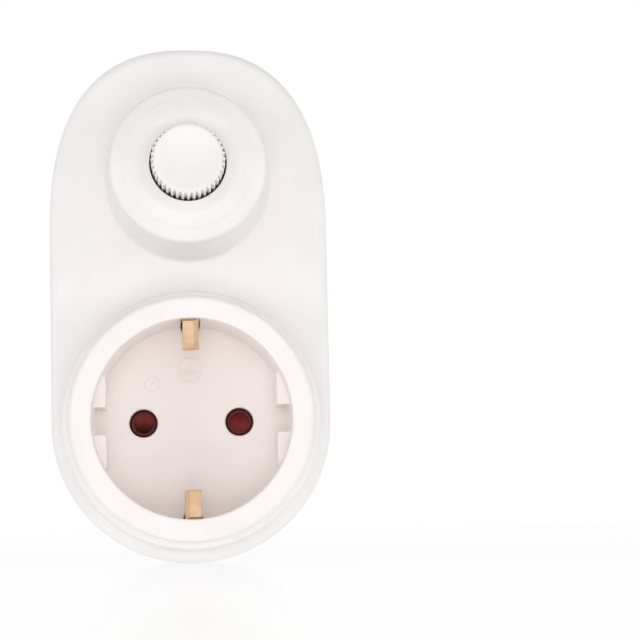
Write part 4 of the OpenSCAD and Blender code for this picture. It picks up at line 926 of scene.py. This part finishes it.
def oneRib():
    k = knob
    bm = bmesh.new()
    tipZ = k["ribTop"] - k["ribTip"]
    levels = [(k["lowZ"], k["ribFootShare"]), (k["lowZ"] + k["ribFoot"], 1),
              (k["lowZ"] + 2 * k["ribFoot"], 1), (tipZ - k["ribHold"], 1)]
    for step in range(7):
        t = math.radians(k["ribTipTurn"] * step / 6)
        levels.append((tipZ + k["ribTip"] * math.sin(t), math.cos(t)))
    foot = k["ribHalf"] * k["ribNarrow"]
    rings = []
    for z, share in levels:
        height = k["ribHeight"] * share
        half = k["ribHalf"] * (k["ribNarrow"] + (1 - k["ribNarrow"]) * share)
        turns = [math.pi * i / 8 for i in range(9)]
        section = [(math.sin(t) ** k["ribFull"] * height, -math.cos(t) * half) for t in turns]
        rings.append(ring(bm, section + [(-k["ribSunk"], foot), (-k["ribSunk"], -foot)], z))
    solidSkin(bm, rings)
    return meshFrom(bm, "oneRib")


def buildKnob():
    k = knob
    ribs = treeResult(oneRib(), ribTree(), {"Rib Count": k["ribCount"], "Root Radius": k["root"],
                                            "Finish": finishes["knob_white"]})
    bm = bmesh.new()
    bm.from_mesh(ribs)
    bmesh.ops.translate(bm, verts=bm.verts, vec=(0, k["y"], 0))
    front = [(k["dishRadius"] * i / 10, k["frontZ"] - k["dish"] * (1 - (i / 10) ** 2)) for i in range(11)]
    side = softPath([(k["dishRadius"], k["frontZ"], 0), (k["nose"], k["frontZ"], k["noseRound"]),
                     (k["nose"], k["noseZ"], k["neckRound"]), (k["root"], k["rootZ"], k["neckRound"]),
                     (k["root"], k["lowZ"], k["lowRound"]), (k["bore"] + k["boreRim"], k["lowZ"], 0),
                     (k["bore"], k["lowZ"], k["boreRound"]), (k["bore"], k["boreTop"], k["boreRound"]),
                     (0, k["boreTop"], 0)], steps=7)
    turned(bm, front + side[1:], (0, k["y"]), 168)
    makePiece("dimmer_knob_body", bm, "knob", "knob_white", "dimmer_knob", k["sharp"])


buildKnob()


# Plug pins: turned, with a round tip and a thicker shank in the plug face
pins = {"x": 9.5, "radius": 2.4, "length": 19, "tipHold": 0.3, "corner": 0.1,
        "shank": 2.7, "shankZ": 0.02, "shankRound": 0.12, "flange": 3.6, "flangeLow": 7.5, "flangeTop": 8.5,
        "spigot": 1.3, "head": 2.0, "headLow": 9.4, "headTop": 10.4, "headRound": 0.4}


def buildPin(name, node, x):
    p = pins
    bm = bmesh.new()
    tipZ = p["radius"] - p["length"]
    tip = [(v.x, v.y) for v in arcPoints((0, tipZ), p["radius"], -90, 0, 14)]
    tip[0] = (0, -p["length"])
    rest = softPath([(p["radius"], tipZ + p["tipHold"], 0), (p["radius"], p["shankZ"], p["shankRound"]),
                     (p["shank"], p["shankZ"], p["shankRound"]), (p["shank"], p["flangeLow"], 0),
                     (p["flange"], p["flangeLow"], p["corner"]), (p["flange"], p["flangeTop"], p["corner"]),
                     (p["spigot"], p["flangeTop"], 0), (p["spigot"], p["headLow"], 0),
                     (p["head"], p["headLow"], p["corner"]), (p["head"], p["headTop"], p["headRound"]),
                     (0, p["headTop"], 0)], steps=4, hold=0.03)
    turned(bm, tip + rest, (x, 0), 72)
    makePiece(name, bm, "case", "nickel", node)


buildPin("line_pin_turned", "line_pin", -pins["x"])
buildPin("neutral_pin_turned", "neutral_pin", pins["x"])


# Case screws: one cross-recessed screw, set at the four spots by a node tree
screw = {"head": 2.5, "headLow": 17.3, "headTop": 18.9, "round": 0.45, "underRound": 0.1,
         "shank": 1.4, "tip": 29, "crossHalf": 1.2, "crossWidth": 0.3, "crossRim": 0.4, "crossTaper": 0.4,
         "crossLevels": [(0, 0), (0.06, 0.08), (0.3, 0.8)],  # inset and depth
         "pitch": 1.0, "threadDeep": 0.32, "threadStart": 0.4, "threadEnd": 1, "flank": 0.35, "land": 0.5,
         "pointInset": 0.5, "pointLength": 0.4, "firstTurn": 0.3, "turnStep": 0.9, "sharp": 30}


def screwTree():
    tree, inputs = nodeTree("screwsAtSpots", {"Screw": "NodeSocketObject", "Turn Step": "NodeSocketFloat",
                                              "Finish": "NodeSocketMaterial"})
    w = Wire(tree)
    shape = w.node("GeometryNodeObjectInfo", None, {"Object": inputs["Screw"]}, "Geometry")
    turn = w.node("GeometryNodeInputIndex") * inputs["Turn Step"] + screw["firstTurn"]
    shapeOnPoints(tree, inputs["Geometry"], shape, turn, inputs["Finish"])
    return tree


def crossOutline(half, width):
    arm = [(half, width), (width, width), (width, half)]
    left = [(-x, y) for x, y in reversed(arm)]
    return arm + left + [(-x, -y) for x, y in arm + left]


def buildScrews():
    s = screw
    bm = bmesh.new()
    head = softPath([(s["crossHalf"] + s["crossRim"], s["headLow"], 0), (s["head"], s["headLow"], s["round"]),
                     (s["head"], s["headTop"], s["underRound"]), (s["shank"], s["headTop"], 0)])
    rings = turned(bm, head, sides=64)
    cross = []
    for inset, deep in s["crossLevels"]:
        outline = crossOutline(s["crossHalf"] - inset, s["crossWidth"] - inset * s["crossTaper"])
        cross.append(ring(bm, outline, s["headLow"] + deep))
    skinAll(bm, cross)
    fillFlat(bm, cross[-1])
    fillFlat(bm, rings[0], cross[0])
    thread = [(s["shank"], s["headTop"])]
    z = s["headTop"] + s["threadStart"]
    while z < s["tip"] - s["threadEnd"]:
        thread += [(s["shank"] - s["threadDeep"], z), (s["shank"], z + s["pitch"] * s["flank"]),
                   (s["shank"], z + s["pitch"] * s["land"])]
        z += s["pitch"]
    point = [(s["shank"] - s["pointInset"], s["tip"] - s["pointLength"]), (0, s["tip"])]
    turned(bm, thread + point, sides=64)
    model = addObject("oneScrew", meshFrom(bm, "oneScrew"))
    spots = bpy.data.meshes.new("screwSpots")
    spots.from_pydata([(x, y, 0) for x, y in screwSpots()], [], [])
    values = {"Screw": model, "Turn Step": s["turnStep"], "Finish": finishes["steel"]}
    bm = bmesh.new()
    bm.from_mesh(treeResult(spots, screwTree(), values))
    bpy.data.objects.remove(model)
    makePiece("case_screws_set", bm, "case", "steel", "case_screws", s["sharp"])


buildScrews()


# Pieces inside the case keep their CAD shape and take these finishes
innerFinishes = {
    "contact_carrier": "carrier_ivory", "line_contact": "contact_brass", "neutral_contact": "contact_brass",
    "earth_rivet": "contact_brass", "line_tag": "contact_brass", "live_wire": "wire_brown",
    "load_wire": "wire_black", "circuit_board": "board_green", "board_screws": "steel",
    "potentiometer_housing": "pot_metal", "resistance_track": "wafer_brown",
    "potentiometer_wiper": "wiper_grey", "potentiometer_shaft": "nickel", "triac": "black_resin",
    "triac_tab": "tinned_copper", "heat_sink": "sink_aluminium", "triac_screw": "steel",
    "choke_core": "ferrite", "choke_winding": "winding_sleeve", "suppression_capacitor": "capacitor_yellow",
    "timing_capacitor": "capacitor_red", "resistors": "resistor_tan", "diac": "diac_blue",
    "fuse_glass": "fuse_tube", "fuse_caps": "nickel", "fuse_clips": "tinned_copper",
}
for nodeName, slotName in innerFinishes.items():
    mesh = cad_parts[nodeName].data
    mesh.materials.clear()
    mesh.materials.append(finishes[slotName])
print("inner pieces:", len(innerFinishes))


# Camera: just above the floor, looking a little up, as the photograph was taken; focal length in pixels
view = {"place": (-2.45, -453.25, -20.82), "pitch": 5.575, "yaw": -3.895, "roll": 1.265,
        "focal": 2101, "image": 640, "sensor": 36, "clip": (0.01, 20)}


def buildCamera():
    data = bpy.data.cameras.new("frontCamera")
    data.sensor_fit = "HORIZONTAL"
    data.sensor_width = view["sensor"]
    data.lens = view["focal"] * view["sensor"] / view["image"]
    data.clip_start, data.clip_end = view["clip"]
    camera = addObject("frontCamera", data)
    turn = Matrix.Translation(Vector(view["place"]) * mm)
    for degrees, axis in ((view["yaw"], "Z"), (view["pitch"], "X"), (view["roll"], "Y"), (90, "X")):
        turn = turn @ Matrix.Rotation(math.radians(degrees), 4, axis)
    camera.matrix_world = turn
    bpy.context.scene.camera = camera


buildCamera()


# Pale floor with a faint mirror of the part, white to the camera; it lets the low lamp through
floorLook = {"z": -27.75, "half": 3.0, "mirrorNear": 0.38, "mirrorFar": 0.1, "near": 50, "far": 330,
             "mirrorRough": 0.08, "white": 1.0, "shade": 0.02, "paint": (0.97, 0.97, 0.98, 1)}
pureWhite = (1, 1, 1, 1)


def seenDirectly(tree):  # 1 for what the camera sees, also in gloss or through glass
    path = tree.nodes.new("ShaderNodeLightPath")
    camera, glossy, through = [Wire(tree, path.outputs[name]) for name in
                               ("Is Camera Ray", "Is Glossy Ray", "Is Transmission Ray")]
    return camera.larger(glossy).larger(through)


def buildFloor():
    f = floorLook
    mesh = bpy.data.meshes.new("floor")
    h, z = f["half"], f["z"] * mm
    mesh.from_pydata([(-h, -h, z), (h, -h, z), (h, h, z), (-h, h, z)], [], [(0, 1, 2, 3)])
    floor = addObject("floor", mesh)
    floor.visible_shadow = False
    floor.visible_diffuse = False
    material = bpy.data.materials.new("floorPale")
    material.use_nodes = True
    tree = material.node_tree
    tree.nodes.clear()
    w = Wire(tree)
    place = w.node("ShaderNodeTexCoord", output="Object")
    away = w.node("ShaderNodeVectorMath", {"operation": "LENGTH"}, {0: place}, "Value")
    mirror = f["mirrorNear"] - away.ease(f["near"] * mm, f["far"] * mm) * (f["mirrorNear"] - f["mirrorFar"])
    paint = w.node("ShaderNodeBsdfDiffuse", None, {"Color": f["paint"]})
    glow = w.node("ShaderNodeEmission", None, {"Color": pureWhite, "Strength": f["white"]})
    gloss = w.node("ShaderNodeBsdfGlossy", None, {"Color": pureWhite, "Roughness": f["mirrorRough"]})
    lit = w.node("ShaderNodeMixShader", None, {0: f["shade"], 1: glow, 2: paint})
    both = seenDirectly(tree).mixShaders(paint, mirror.mixShaders(lit, gloss))
    tree.links.new(both.socket, tree.nodes.new("ShaderNodeOutputMaterial").inputs["Surface"])
    mesh.materials.append(material)


# Soft light from all round, stronger from below and cooler behind the part
studio = {"under": 0.95, "over": 0.6, "slope": (-0.6, 0.4), "frontTint": (0.955, 0.96, 0.985, 1),
          "backTint": (0.86, 0.91, 1.0, 1), "tintSlope": (-0.4, 0.4), "white": 1.0}


def buildWorld():
    world = bpy.data.worlds.new("studio")
    bpy.context.scene.world = world
    world.use_nodes = True
    tree = world.node_tree
    tree.nodes.clear()
    w = Wire(tree)
    _, y, z = w.node("ShaderNodeTexCoord", output="Generated").parts()
    tint = y.ease(*studio["tintSlope"]).blend(studio["frontTint"], studio["backTint"])
    under, over, white = [
        w.node("ShaderNodeBackground", None, {"Color": colour, "Strength": studio[part]})
        for part, colour in (("under", tint), ("over", tint), ("white", pureWhite))]
    both = seenDirectly(tree).mixShaders(z.ease(*studio["slope"]).mixShaders(under, over), white)
    tree.links.new(both.socket, tree.nodes.new("ShaderNodeOutputWorld").inputs["Surface"])


# Lamps: place, power in watts, width and height
lamps = {"lowLamp": ((0, -900, -220), 0.75, (420, 200)), "frontLamp": ((0, -900, 60), 0.8, (420, 200)),
         "leftLamp": ((-750, -520, 90), 1.0, (300, 300)), "rightLamp": ((750, -520, 90), 1.0, (300, 300))}
lampLook = {"target": (0, -40, 20), "colour": (1.0, 0.98, 0.97)}


def buildLamps():
    target = Vector(lampLook["target"]) * mm
    for name, (place, power, size) in lamps.items():
        data = bpy.data.lights.new(name, "AREA")
        data.shape = "RECTANGLE"
        data.size, data.size_y = size[0] * mm, size[1] * mm
        data.energy = power
        data.color = lampLook["colour"]
        lamp = addObject(name, data)
        lamp.location = Vector(place) * mm
        lamp.rotation_euler = (target - lamp.location).to_track_quat("-Z", "Y").to_euler()


buildFloor()
buildWorld()
buildLamps()
bpy.context.scene.view_settings.view_transform = "Standard"
print("stage, lamps and camera set")
